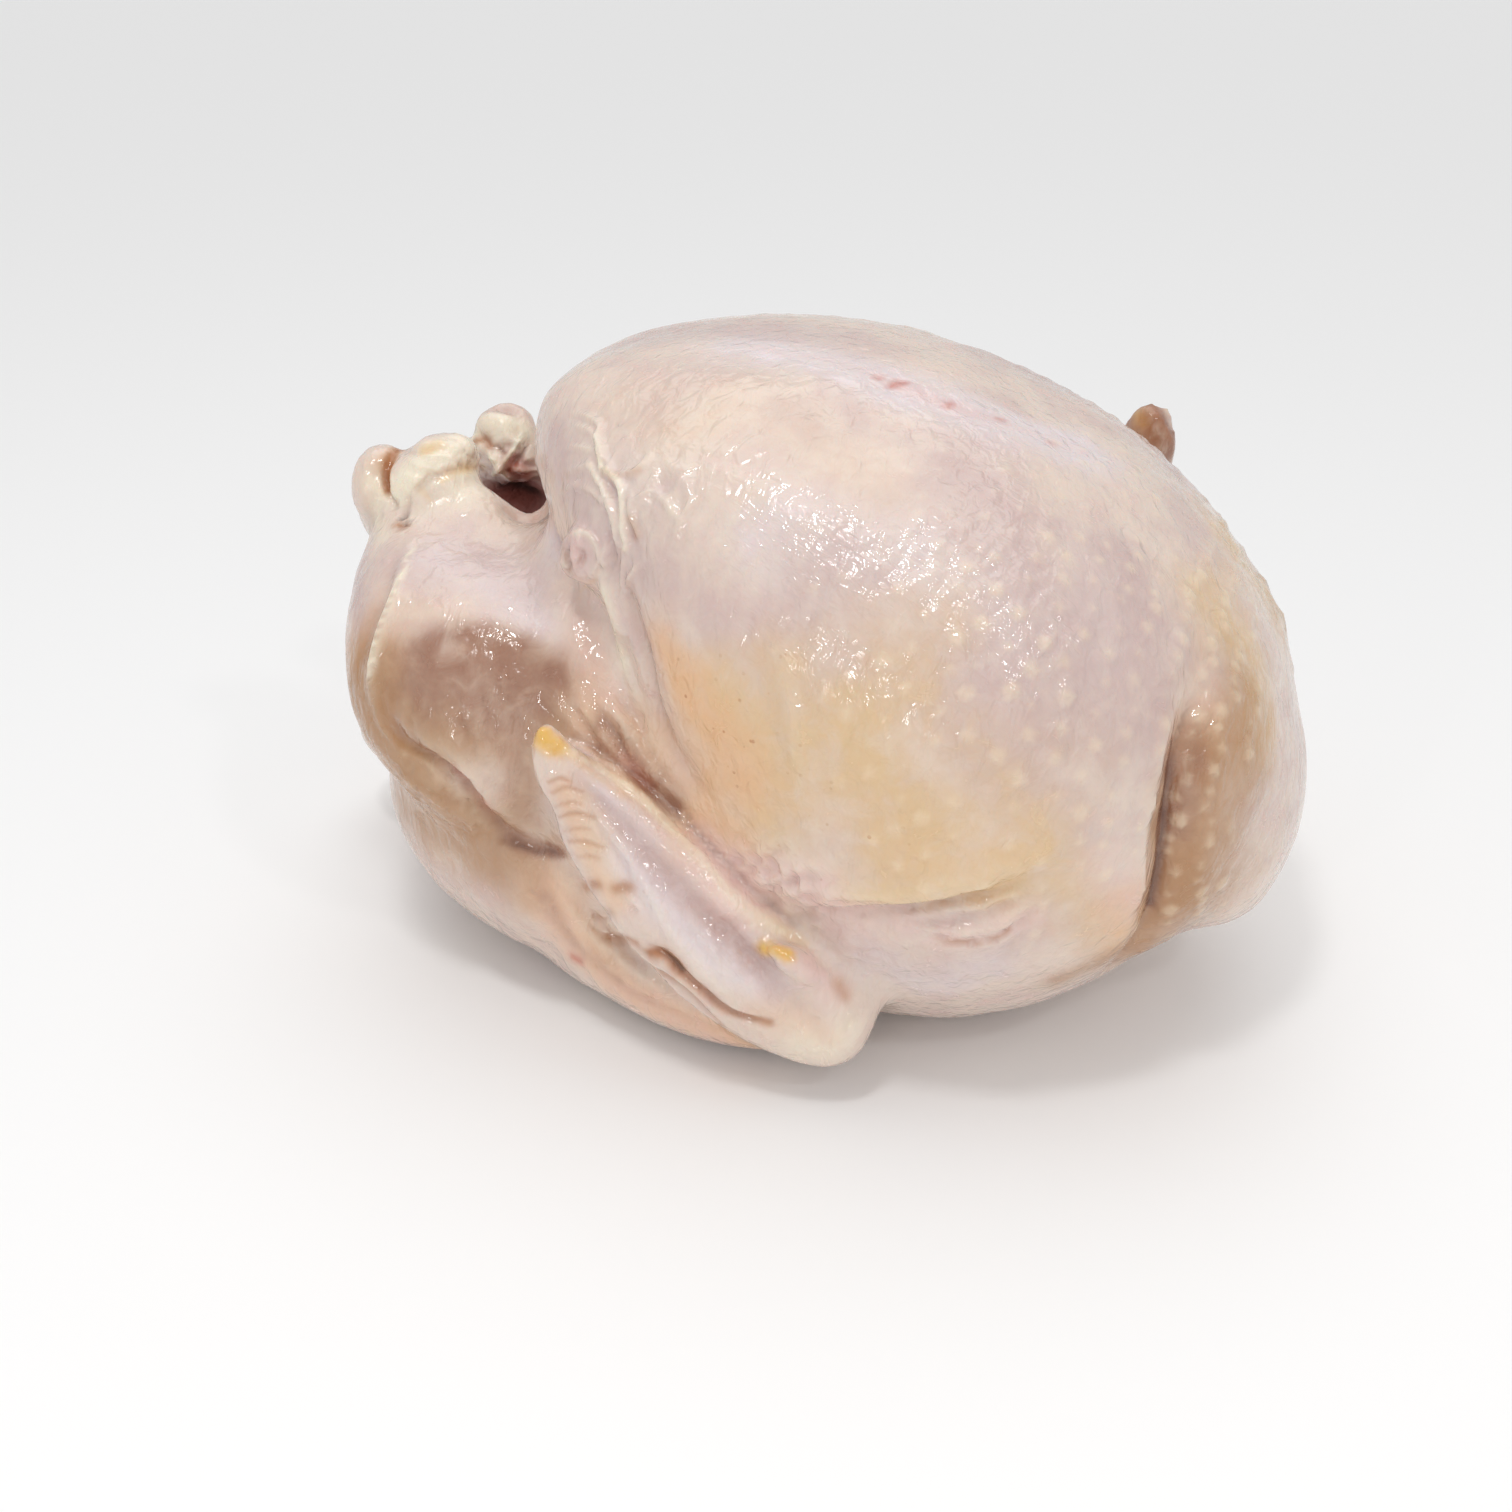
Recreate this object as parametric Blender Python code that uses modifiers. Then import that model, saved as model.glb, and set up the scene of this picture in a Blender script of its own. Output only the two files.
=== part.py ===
"""Whole raw turkey, plucked and drawn, lying on its back with the legs tucked up at the vent.

One solid: torso, thighs, drumsticks with their hock ends, folded wings and the body cavity share one skin.
Metres. +X points to the neck end, +Z up through the breast bone, and the bird's left side is on -Y.
"""

import bmesh
import bpy
import numpy as np

COLLECTION = "raw_turkey"
CUTTERS = "raw_turkey_cutters"
LEFT, RIGHT = 1, -1  # the bird's left is on -Y; sizes are written for it

# Torso: rear end of the breast, neck end, and how full its cross section is
BREAST_REAR_X = -0.0873
BREAST_FRONT_X = 0.1449
SECTION_FULLNESS = 2.4

# Grain of the fused skins, and the rounds of smoothing over their seams
VOXEL_FORMS = 0.0032
VOXEL_SKIN = 0.0023
ROUNDS_FORMS = 22
ROUNDS_SKIN = 5
TRIANGLE_LIMIT = 11600

# Grain of a form before it is fused: vertices round it and from end to end
FORM_GRAIN = (48, 32)
BREAST_GRAIN = (64, 40)
SPINE_STEP = 0.01  # share of a spine that its direction is taken over
ROUND_END = 0.5  # fullness of a form's ends as on a ball; smaller is fuller
FULL_END = 0.4
THIN_END = 0.7

# Strokes on the skin: steps per listed point, and the share at each end where they stop fading out
LINE_GRAIN = 6
LINE_ENDS = 0.02


def clear_scene():
    for thing in list(bpy.data.objects):
        bpy.data.objects.remove(thing)
    for name in (COLLECTION, CUTTERS):
        bpy.context.scene.collection.children.link(bpy.data.collections.new(name))


def along(rows, t):
    """Catmull-Rom values of equal-length rows at t, from 0 at the first row to 1 at the last."""
    rows = np.array(rows, float)
    spans = len(rows) - 1
    padded = np.vstack([2 * rows[0] - rows[1], rows, 2 * rows[-1] - rows[-2]])
    spot = np.clip(t, 0, 1) * spans
    index = np.minimum(spot.astype(int), spans - 1)
    f = (spot - index)[:, None]
    a, b, c, d = (padded[index + k] for k in range(4))
    return 0.5 * (2 * b + (c - a) * f + (2 * a - 5 * b + 4 * c - d) * f**2 + (3 * b - a - 3 * c + d) * f**3)


def add_mesh(name, bm, collection=COLLECTION):
    mesh = bpy.data.meshes.new(name)
    bm.to_mesh(mesh)
    bm.free()
    thing = bpy.data.objects.new(name, mesh)
    bpy.data.collections[collection].objects.link(thing)
    return thing


def ball(grain):
    """A unit ball as bmesh, with each vertex's angle from the first pole and its turn round the poles."""
    bm = bmesh.new()
    bmesh.ops.create_uvsphere(bm, u_segments=grain[0], v_segments=grain[1], radius=1)
    points = np.array([vertex.co for vertex in bm.verts])
    polar = np.arccos(np.clip(-points[:, 2], -1, 1))
    return bm, polar, np.arctan2(points[:, 1], points[:, 0])


def put(bm, points):
    for vertex, point in zip(bm.verts, points):
        vertex.co = point
    bm.normal_update()
    bmesh.ops.recalc_face_normals(bm, faces=bm.faces)


def lump(name, stations, up=(0, 0, 1), blunt=ROUND_END, collection=COLLECTION):
    """A rounded mass along a bent spine. A station is x, y, z, half width, half height.

    A smaller blunt makes fuller ends; up is the direction that the height is measured in.
    """
    bm, polar, turn = ball(FORM_GRAIN)
    t = (1 - np.cos(polar)) / 2
    here = along(stations, t)
    ahead, behind = (along(stations, np.clip(t + step, 0, 1))[:, :3] for step in (SPINE_STEP, -SPINE_STEP))
    forward = (ahead - behind) / np.linalg.norm(ahead - behind, axis=1)[:, None]
    side = np.cross(np.array(up, float), forward)
    side /= np.linalg.norm(side, axis=1)[:, None]
    top = np.cross(forward, side)
    swell = np.sin(polar) ** blunt
    wide = (here[:, 3] * swell * np.cos(turn))[:, None]
    high = (here[:, 4] * swell * np.sin(turn))[:, None]
    put(bm, here[:, :3] + side * wide + top * high)
    return add_mesh(name, bm, collection)


def mirrored(stations, side):
    return [(x, side * y, z, *sizes) for x, y, z, *sizes in stations]


def breast():
    """The dome: half width, lowest, highest and widest height at five stations from rear to neck end."""
    stations = [
        (0.063, 0.099, 0.1989, 0.1548),
        (0.090, 0.036, 0.1971, 0.1332),
        (0.1026, -0.0063, 0.1881, 0.0954),
        (0.1035, -0.0045, 0.1701, 0.0936),
        (0.0792, 0.027, 0.1359, 0.081),
    ]
    bm, polar, turn = ball(BREAST_GRAIN)
    t = (1 - np.cos(polar)) / 2
    half, low, high, wide = along(stations, t).T
    swell = np.sin(polar) ** ROUND_END
    across = np.sign(np.cos(turn)) * np.abs(np.cos(turn)) ** (2 / SECTION_FULLNESS)
    rise = np.sign(np.sin(turn)) * np.abs(np.sin(turn)) ** (2 / SECTION_FULLNESS)
    x = BREAST_REAR_X + (BREAST_FRONT_X - BREAST_REAR_X) * t
    z = wide + swell * rise * np.where(rise > 0, high - wide, wide - low)
    put(bm, np.stack([x, half * swell * across, z], axis=1))
    return add_mesh("breast", bm)


def back():
    return [
        lump("back", [
            (-0.1476, 0, 0.0414, 0.0432, 0.036),
            (-0.099, 0, 0.045, 0.0594, 0.045),
            (-0.036, 0, 0.0445, 0.0747, 0.0504),
            (0.078, 0, 0.0425, 0.072, 0.0486),
        ]),
        lump("tail", [
            (-0.180, 0, 0.040, 0.010, 0.005),
            (-0.166, 0, 0.037, 0.021, 0.012),
            (-0.140, 0, 0.037, 0.036, 0.024),
        ], blunt=THIN_END),
    ]


def neck_end():
    """Loose skin drawn over the neck opening."""
    return lump("neck_skin", [
        (0.1278, -0.0405, 0.0666, 0.0216, 0.036),
        (0.1314, 0.000, 0.0666, 0.0216, 0.0414),
        (0.1278, 0.0405, 0.0666, 0.0216, 0.036),
    ])


def leg(side):
    """Drumstick from the hock down and forward to the knee, the skin above it, the flank and the thigh."""
    return [
        lump("drumstick", mirrored([
            (-0.1242, -0.0306, 0.1368, 0.0153, 0.0153),
            (-0.1188, -0.0396, 0.1224, 0.0234, 0.0216),
            (-0.1008, -0.054, 0.1008, 0.0378, 0.036),
            (-0.0756, -0.0666, 0.0828, 0.0414, 0.0396),
            (-0.045, -0.0738, 0.0684, 0.0306, 0.0306),
        ], side)),
        lump("leg_skin", mirrored([
            (-0.117, -0.027, 0.1296, 0.0126, 0.0108),
            (-0.0936, -0.0342, 0.117, 0.0216, 0.018),
            (-0.0666, -0.0504, 0.1044, 0.0288, 0.027),
            (-0.045, -0.0648, 0.099, 0.0252, 0.027),
            (-0.0234, -0.0738, 0.0828, 0.0198, 0.0234),
        ], side)),
        lump("flank", mirrored([
            (-0.072, -0.0666, 0.0756, 0.027, 0.036),
            (-0.036, -0.072, 0.072, 0.027, 0.036),
            (0.009, -0.0738, 0.0648, 0.0252, 0.036),
        ], side)),
        lump("thigh", mirrored([
            (-0.1332, -0.027, 0.054, 0.027, 0.0315),
            (-0.099, -0.045, 0.0468, 0.036, 0.0405),
            (-0.054, -0.063, 0.0468, 0.036, 0.0432),
            (-0.009, -0.0675, 0.054, 0.027, 0.036),
        ], side)),
    ]


def drawn_up():
    """Skin drawn up over the top of the left drumstick, which lies higher than the right one."""
    return lump("drawn_up", [
        (-0.1230, -0.0300, 0.1350, 0.0110, 0.0115),
        (-0.1080, -0.0310, 0.1345, 0.0125, 0.0115),
        (-0.0950, -0.0330, 0.1295, 0.0120, 0.0110),
        (-0.0800, -0.0360, 0.1190, 0.0100, 0.0100),
    ])


def skin_tab(side):
    """The free end of skin beside the leg, where the belly was cut open."""
    return lump("skin_tab", mirrored([
        (-0.0455, -0.0745, 0.1535, 0.0065, 0.0040),
        (-0.0480, -0.0745, 0.1450, 0.0080, 0.0055),
        (-0.0520, -0.0715, 0.1360, 0.0050, 0.0045),
    ], side), up=(-0.4, -0.8 * side, 0.3))


def hock(x, y, z, side):
    """The two knuckles of the joint where the shank was cut off, round their middle."""
    big = [
        (0.000, -0.0099, -0.0063, 0.0117, 0.0135),
        (-0.0009, 0, 0, 0.0144, 0.0162),
        (-0.0018, 0.009, -0.0063, 0.0117, 0.0135),
    ]
    small = [
        (-0.0126, -0.0072, -0.0126, 0.0081, 0.0108),
        (-0.018, 0, -0.0054, 0.009, 0.0126),
        (-0.0144, 0.009, -0.0054, 0.0081, 0.0108),
    ]
    return [
        lump("knuckle", [(x + dx, y + side * dy, z + dz, *sizes) for dx, dy, dz, *sizes in stations])
        for stations in (big, small)
    ]


def upper_wing(side):
    """The wing's first bone, from the shoulder back along the underside."""
    return lump("upper_wing", mirrored([
        (0.090, -0.0486, 0.0342, 0.0234, 0.027),
        (0.054, -0.054, 0.0342, 0.027, 0.0306),
        (0.000, -0.0558, 0.027, 0.0234, 0.0252),
        (-0.0666, -0.054, 0.0234, 0.0198, 0.0216),
    ], side))


def left_wing():
    """Folded flat in three: the forearm comes forward on the rest, the hand goes back up along the side."""
    face = (0.15, -0.9, 0.35)
    return [
        upper_wing(LEFT),
        lump("forearm", [
            (-0.0774, -0.054, 0.0252, 0.0162, 0.0216),
            (-0.054, -0.0702, 0.0234, 0.0189, 0.0225),
            (-0.009, -0.0864, 0.0189, 0.0171, 0.018),
            (0.0414, -0.0882, 0.0162, 0.0144, 0.0153),
        ]),
        lump("hand", [
            (0.0475, -0.0910, 0.0190, 0.0170, 0.0160),
            (0.0290, -0.0980, 0.0295, 0.0205, 0.0120),
            (0.0000, -0.1020, 0.0500, 0.0205, 0.0085),
            (-0.0270, -0.1020, 0.0730, 0.0160, 0.0070),
            (-0.0475, -0.1000, 0.1000, 0.0055, 0.0040),
        ], up=face, blunt=FULL_END),
        lump("thumb", [
            (0.0342, -0.1026, 0.0378, 0.0054, 0.0045),
            (0.0234, -0.1053, 0.0441, 0.0045, 0.0036),
            (0.0162, -0.1062, 0.0477, 0.0027, 0.0027),
        ], up=face),
    ]


def right_wing():
    """Folded at the elbow with the hand up the side and its tip beyond the breast's edge."""
    face = (0.15, 0.9, 0.35)
    return [
        upper_wing(RIGHT),
        lump("forearm", [
            (-0.0774, 0.054, 0.0252, 0.0162, 0.0216),
            (-0.054, 0.0702, 0.0234, 0.0189, 0.0225),
            (-0.009, 0.0846, 0.0198, 0.0162, 0.018),
            (0.0306, 0.0918, 0.018, 0.0135, 0.0144),
        ]),
        lump("hand", [
            (0.0324, 0.0954, 0.0216, 0.0144, 0.0126),
            (0.0432, 0.1026, 0.0495, 0.018, 0.0108),
            (0.0576, 0.108, 0.081, 0.0171, 0.009),
            (0.0756, 0.108, 0.117, 0.0135, 0.0081),
            (0.0835, 0.1045, 0.1520, 0.0120, 0.0085),
        ], up=face, blunt=FULL_END),
    ]


def bake(thing):
    graph = bpy.context.evaluated_depsgraph_get()
    mesh = bpy.data.meshes.new_from_object(thing.evaluated_get(graph))
    thing.modifiers.clear()
    thing.data = mesh


def fused(name, things, voxel, rounds):
    """One closed skin round all of the things, with the seams between them smoothed."""
    bm = bmesh.new()
    for thing in things:
        bm.from_mesh(thing.data)
        bpy.data.objects.remove(thing)
    skin = add_mesh(name, bm)
    remesh = skin.modifiers.new("one_skin", "REMESH")
    remesh.mode = "VOXEL"
    remesh.voxel_size = voxel
    soften = skin.modifiers.new("soften", "SMOOTH")
    soften.factor = 0.5
    soften.iterations = rounds
    bake(skin)
    return skin


def to_line(points, line):
    """Each skin point's distance to a bent line laid on the skin, and its nearest spot along it, 0 to 1."""
    line = along(line, np.linspace(0, 1, LINE_GRAIN * len(line)))
    line = points[list(dict.fromkeys(((points - spot) ** 2).sum(1).argmin() for spot in line))]
    start, end = line[:-1], line[1:]
    span = end - start
    offset = points[:, None] - start[None]
    t = np.clip((offset * span).sum(2) / (span**2).sum(1), 0, 1)
    gap = np.linalg.norm(offset - t[..., None] * span, axis=2)
    nearest = gap.argmin(1)
    rows = np.arange(len(points))
    return gap[rows, nearest], (nearest + t[rows, nearest]) / len(span)


# Creases and ridges on the left: bent line on the skin, reach, height (below zero cuts in), on the right too
STROKES = [
    # between the leg and the breast, and the fold of skin beside it
    ([(-0.058, -0.056, 0.136), (-0.044, -0.069, 0.130), (-0.033, -0.075, 0.119), (-0.027, -0.079, 0.106),
      (-0.021, -0.085, 0.096), (-0.011, -0.090, 0.088)], 0.0048, -0.0046, True),
    ([(-0.056, -0.062, 0.130), (-0.046, -0.074, 0.120), (-0.040, -0.080, 0.109), (-0.035, -0.084, 0.098)],
     0.0045, 0.0024, True),
    # outer edge of the drumstick, and under it
    ([(-0.111, -0.059, 0.134), (-0.106, -0.077, 0.127), (-0.106, -0.087, 0.119), (-0.106, -0.094, 0.106)],
     0.0042, 0.0024, True),
    ([(-0.100, -0.097, 0.092), (-0.086, -0.099, 0.086), (-0.078, -0.097, 0.080), (-0.069, -0.093, 0.065),
      (-0.049, -0.094, 0.061)], 0.0050, -0.0042, True),
    # over the shoulder
    ([(0.024, -0.097, 0.060), (0.042, -0.098, 0.064), (0.064, -0.099, 0.073), (0.093, -0.092, 0.084)],
     0.0042, -0.0040, True),
    ([(0.024, -0.097, 0.067), (0.042, -0.098, 0.071), (0.064, -0.099, 0.080), (0.093, -0.092, 0.091)],
     0.0055, 0.0020, True),
    # between the breast and the loose neck skin
    ([(0.120, -0.044, 0.130), (0.118, -0.058, 0.109), (0.118, -0.064, 0.096), (0.118, -0.064, 0.080),
      (0.117, -0.063, 0.063), (0.108, -0.054, 0.034)], 0.0058, -0.0075, True),
    # round the folded hand
    ([(-0.052, -0.089, 0.101), (-0.034, -0.092, 0.095), (-0.015, -0.094, 0.084), (0.011, -0.098, 0.065),
      (0.028, -0.098, 0.053), (0.044, -0.097, 0.039)], 0.0038, -0.0036, False),
    ([(-0.058, -0.095, 0.089), (-0.054, -0.096, 0.074), (-0.052, -0.094, 0.058), (-0.035, -0.094, 0.033),
      (-0.004, -0.103, 0.022)], 0.0038, -0.0030, False),
]


def sculpt(skin):
    mesh = skin.data
    points = np.array([vertex.co for vertex in mesh.vertices])
    normals = np.array([vertex.normal for vertex in mesh.vertices])
    for line, reach, height, both in STROKES:
        for side in (LEFT, RIGHT) if both else (LEFT,):
            gap, spot = to_line(points, mirrored(line, side))
            fade = np.sqrt(np.sin(np.pi * np.clip(spot, LINE_ENDS, 1 - LINE_ENDS)))
            points += normals * (height * fade * np.exp(-((gap / reach) ** 2)))[:, None]
    for vertex, point in zip(mesh.vertices, points):
        vertex.co = point


def rest_flat(skin):
    """The underside is pressed flat where it rests."""
    bm = bmesh.new()
    bm.from_mesh(skin.data)
    everything = bm.verts[:] + bm.edges[:] + bm.faces[:]
    bmesh.ops.bisect_plane(bm, geom=everything, plane_co=(0, 0, 0), plane_no=(0, 0, -1), clear_outer=True)
    bmesh.ops.holes_fill(bm, edges=[edge for edge in bm.edges if edge.is_boundary], sides=0)
    bm.to_mesh(skin.data)
    bm.free()


def lighten(skin):
    """Fewer, larger triangles where the skin is smooth."""
    count = sum(len(face.vertices) - 2 for face in skin.data.polygons)
    thin = skin.modifiers.new("lighten", "DECIMATE")
    thin.ratio = TRIANGLE_LIMIT / count
    thin.use_collapse_triangulate = True
    bake(skin)


def cut_cavity(skin):
    """The drawn body's hollow, open at the vent between the hocks and the tail."""
    cutter = lump("cavity_cutter", [
        (-0.176, 0, 0.100, 0.018, 0.020),
        (-0.118, 0, 0.093, 0.025, 0.033),
        (-0.060, 0, 0.090, 0.040, 0.040),
        (0.000, 0, 0.088, 0.042, 0.042),
        (0.060, 0, 0.086, 0.032, 0.034),
    ], collection=CUTTERS)
    cutter.hide_render = True
    cutter.display_type = "WIRE"
    hollow = skin.modifiers.new("cavity", "BOOLEAN")
    hollow.operation = "DIFFERENCE"
    hollow.solver = "EXACT"
    hollow.object = cutter
    bake(skin)


def coat(skin):
    """Pale raw skin, slightly wet."""
    material = bpy.data.materials.new("raw_skin")
    material.use_nodes = True
    shader = material.node_tree.nodes["Principled BSDF"]
    shader.inputs["Base Color"].default_value = (0.80, 0.62, 0.52, 1)
    shader.inputs["Roughness"].default_value = 0.35
    skin.data.materials.clear()
    skin.data.materials.append(material)


def build():
    clear_scene()
    forms = [breast(), *back(), neck_end(), *leg(LEFT), *leg(RIGHT), drawn_up()]
    body = fused("body", forms, VOXEL_FORMS, ROUNDS_FORMS)
    ends = [*hock(-0.1206, -0.0288, 0.1386, LEFT), *hock(-0.1206, 0.0207, 0.1332, RIGHT)]
    ends += [skin_tab(LEFT), skin_tab(RIGHT), *left_wing(), *right_wing()]
    turkey = fused("turkey", [body, *ends], VOXEL_SKIN, ROUNDS_SKIN)
    sculpt(turkey)
    cut_cavity(turkey)
    lighten(turkey)
    rest_flat(turkey)
    coat(turkey)


build()
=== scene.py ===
import itertools
import math

import bmesh
import bpy
import numpy as np
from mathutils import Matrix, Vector
from mathutils.bvhtree import BVHTree
from mathutils.kdtree import KDTree


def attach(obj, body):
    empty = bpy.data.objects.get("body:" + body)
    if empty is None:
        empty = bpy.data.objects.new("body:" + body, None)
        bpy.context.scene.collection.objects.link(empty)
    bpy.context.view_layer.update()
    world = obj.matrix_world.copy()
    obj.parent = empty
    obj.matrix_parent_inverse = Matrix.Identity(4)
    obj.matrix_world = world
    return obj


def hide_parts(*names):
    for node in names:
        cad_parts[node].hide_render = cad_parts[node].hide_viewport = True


bl_info = {
    "name": "Whole raw turkey",
    "version": (1, 0, 0),
    "blender": (4, 5, 0),
    "location": "3D View > Sidebar > Turkey",
    "description": "Wet plucked skin of a whole raw turkey, laid over its solid",
    "category": "Object",
}

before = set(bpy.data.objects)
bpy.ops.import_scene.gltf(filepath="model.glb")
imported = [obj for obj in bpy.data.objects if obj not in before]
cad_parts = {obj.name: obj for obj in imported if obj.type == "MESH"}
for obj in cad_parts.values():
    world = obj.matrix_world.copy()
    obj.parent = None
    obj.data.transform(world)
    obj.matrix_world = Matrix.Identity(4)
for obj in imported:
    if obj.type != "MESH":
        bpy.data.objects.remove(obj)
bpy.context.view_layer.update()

# The view: degrees round and above the bird, pixels, metres
FRAME_PX = 1512
FOCAL_PX = 1662
SENSOR_MM = 36
AZIMUTH = math.radians(21)
ELEVATION = math.radians(28.6)
DISTANCE = 0.54
TARGET = np.array((-0.0166, -0.0168, 0.0587))
RIGHT_OF_VIEW = np.array((math.cos(AZIMUTH), math.sin(AZIMUTH), 0))
FORWARD = np.array((
    -math.sin(AZIMUTH) * math.cos(ELEVATION),
    math.cos(AZIMUTH) * math.cos(ELEVATION),
    -math.sin(ELEVATION),
))
UP_OF_VIEW = np.cross(RIGHT_OF_VIEW, FORWARD)
EYE = TARGET - DISTANCE * FORWARD
PX = DISTANCE / FOCAL_PX  # metres that one pixel covers at the bird

LEFT, RIGHT = 1, -1  # the bird's left is on -Y; every mirrored line is written for it
MM = 0.001


# --- Shapes ---

# Small forms that the solid leaves out: their stations (x, y, z, half width, half height) and the way up
FORMS = [
    # knuckles of the left hock
    ([(-0.1345, -0.04, 0.133, 0.0085, 0.009), (-0.1368, -0.033, 0.142, 0.0095, 0.01),
      (-0.133, -0.025, 0.148, 0.008, 0.0085)], (0, 0, 1)),
    ([(-0.121, -0.038, 0.143, 0.007, 0.007), (-0.117, -0.029, 0.149, 0.01, 0.009),
      (-0.11, -0.019, 0.147, 0.007, 0.007)], (0, 0, 1)),
    # knuckles of the right hock
    ([(-0.127, 0.013, 0.1425, 0.0065, 0.007), (-0.1225, 0.0215, 0.1465, 0.0092, 0.0085),
      (-0.115, 0.029, 0.1445, 0.0072, 0.007)], (0, 0, 1)),
    # tip of the left hand
    ([(-0.0366, -0.102, 0.0842, 0.0105, 0.006), (-0.044, -0.1005, 0.094, 0.007, 0.005),
      (-0.0488, -0.0985, 0.1045, 0.0036, 0.0036)], (0.15, -0.9, 0.35)),
    # nub of the left thumb
    ([(0.037, -0.1, 0.039, 0.0052, 0.0036), (0.0285, -0.1058, 0.0482, 0.0046, 0.0036),
      (0.021, -0.1085, 0.053, 0.003, 0.0026)], (0.45, -0.45, 0.77)),
]

# Lines of the view that stand in more than one row
BREAST_RIDGE = [(745, 345), (830, 362), (895, 386), (950, 408), (1010, 425), (1080, 450)]
NECK_EDGE = [(1172, 740), (1168, 790), (1162, 850), (1150, 905)]
LONG_SINEW = [(527, 430), (516, 446), (504, 462), (492, 477)]
SHORT_SINEW = [(486, 450), (494, 461), (502, 471), (510, 480)]
UNDER_LONG = [(531, 440), (522, 456), (508, 472)]  # grooves beside the sinews
UNDER_SHORT = [(498, 446), (506, 454)]

# Feather ribs of the left hand: pixels of the view, reach in pixels, height in mm, strength of their amber
RIBS = [
    ([(549, 782), (560, 778), (570, 782)], 2.6, -0.4, 0.4),
    ([(552, 793), (566, 788), (582, 792)], 3.2, -0.6, 0.3),
    ([(556, 806), (570, 802), (580, 804)], 2.6, -0.4, 0.25),
    ([(559, 817), (576, 813), (594, 818)], 3.2, -0.6, 0.4),
    ([(564, 831), (578, 828), (590, 829)], 2.6, -0.35, 0.2),
    ([(569, 842), (584, 842), (602, 848)], 3, -0.5, 0.3),
    ([(577, 858), (590, 857), (598, 860)], 2.6, -0.35, 0.2),
]
RIB_AMBER_REACH = 2.4

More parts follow.
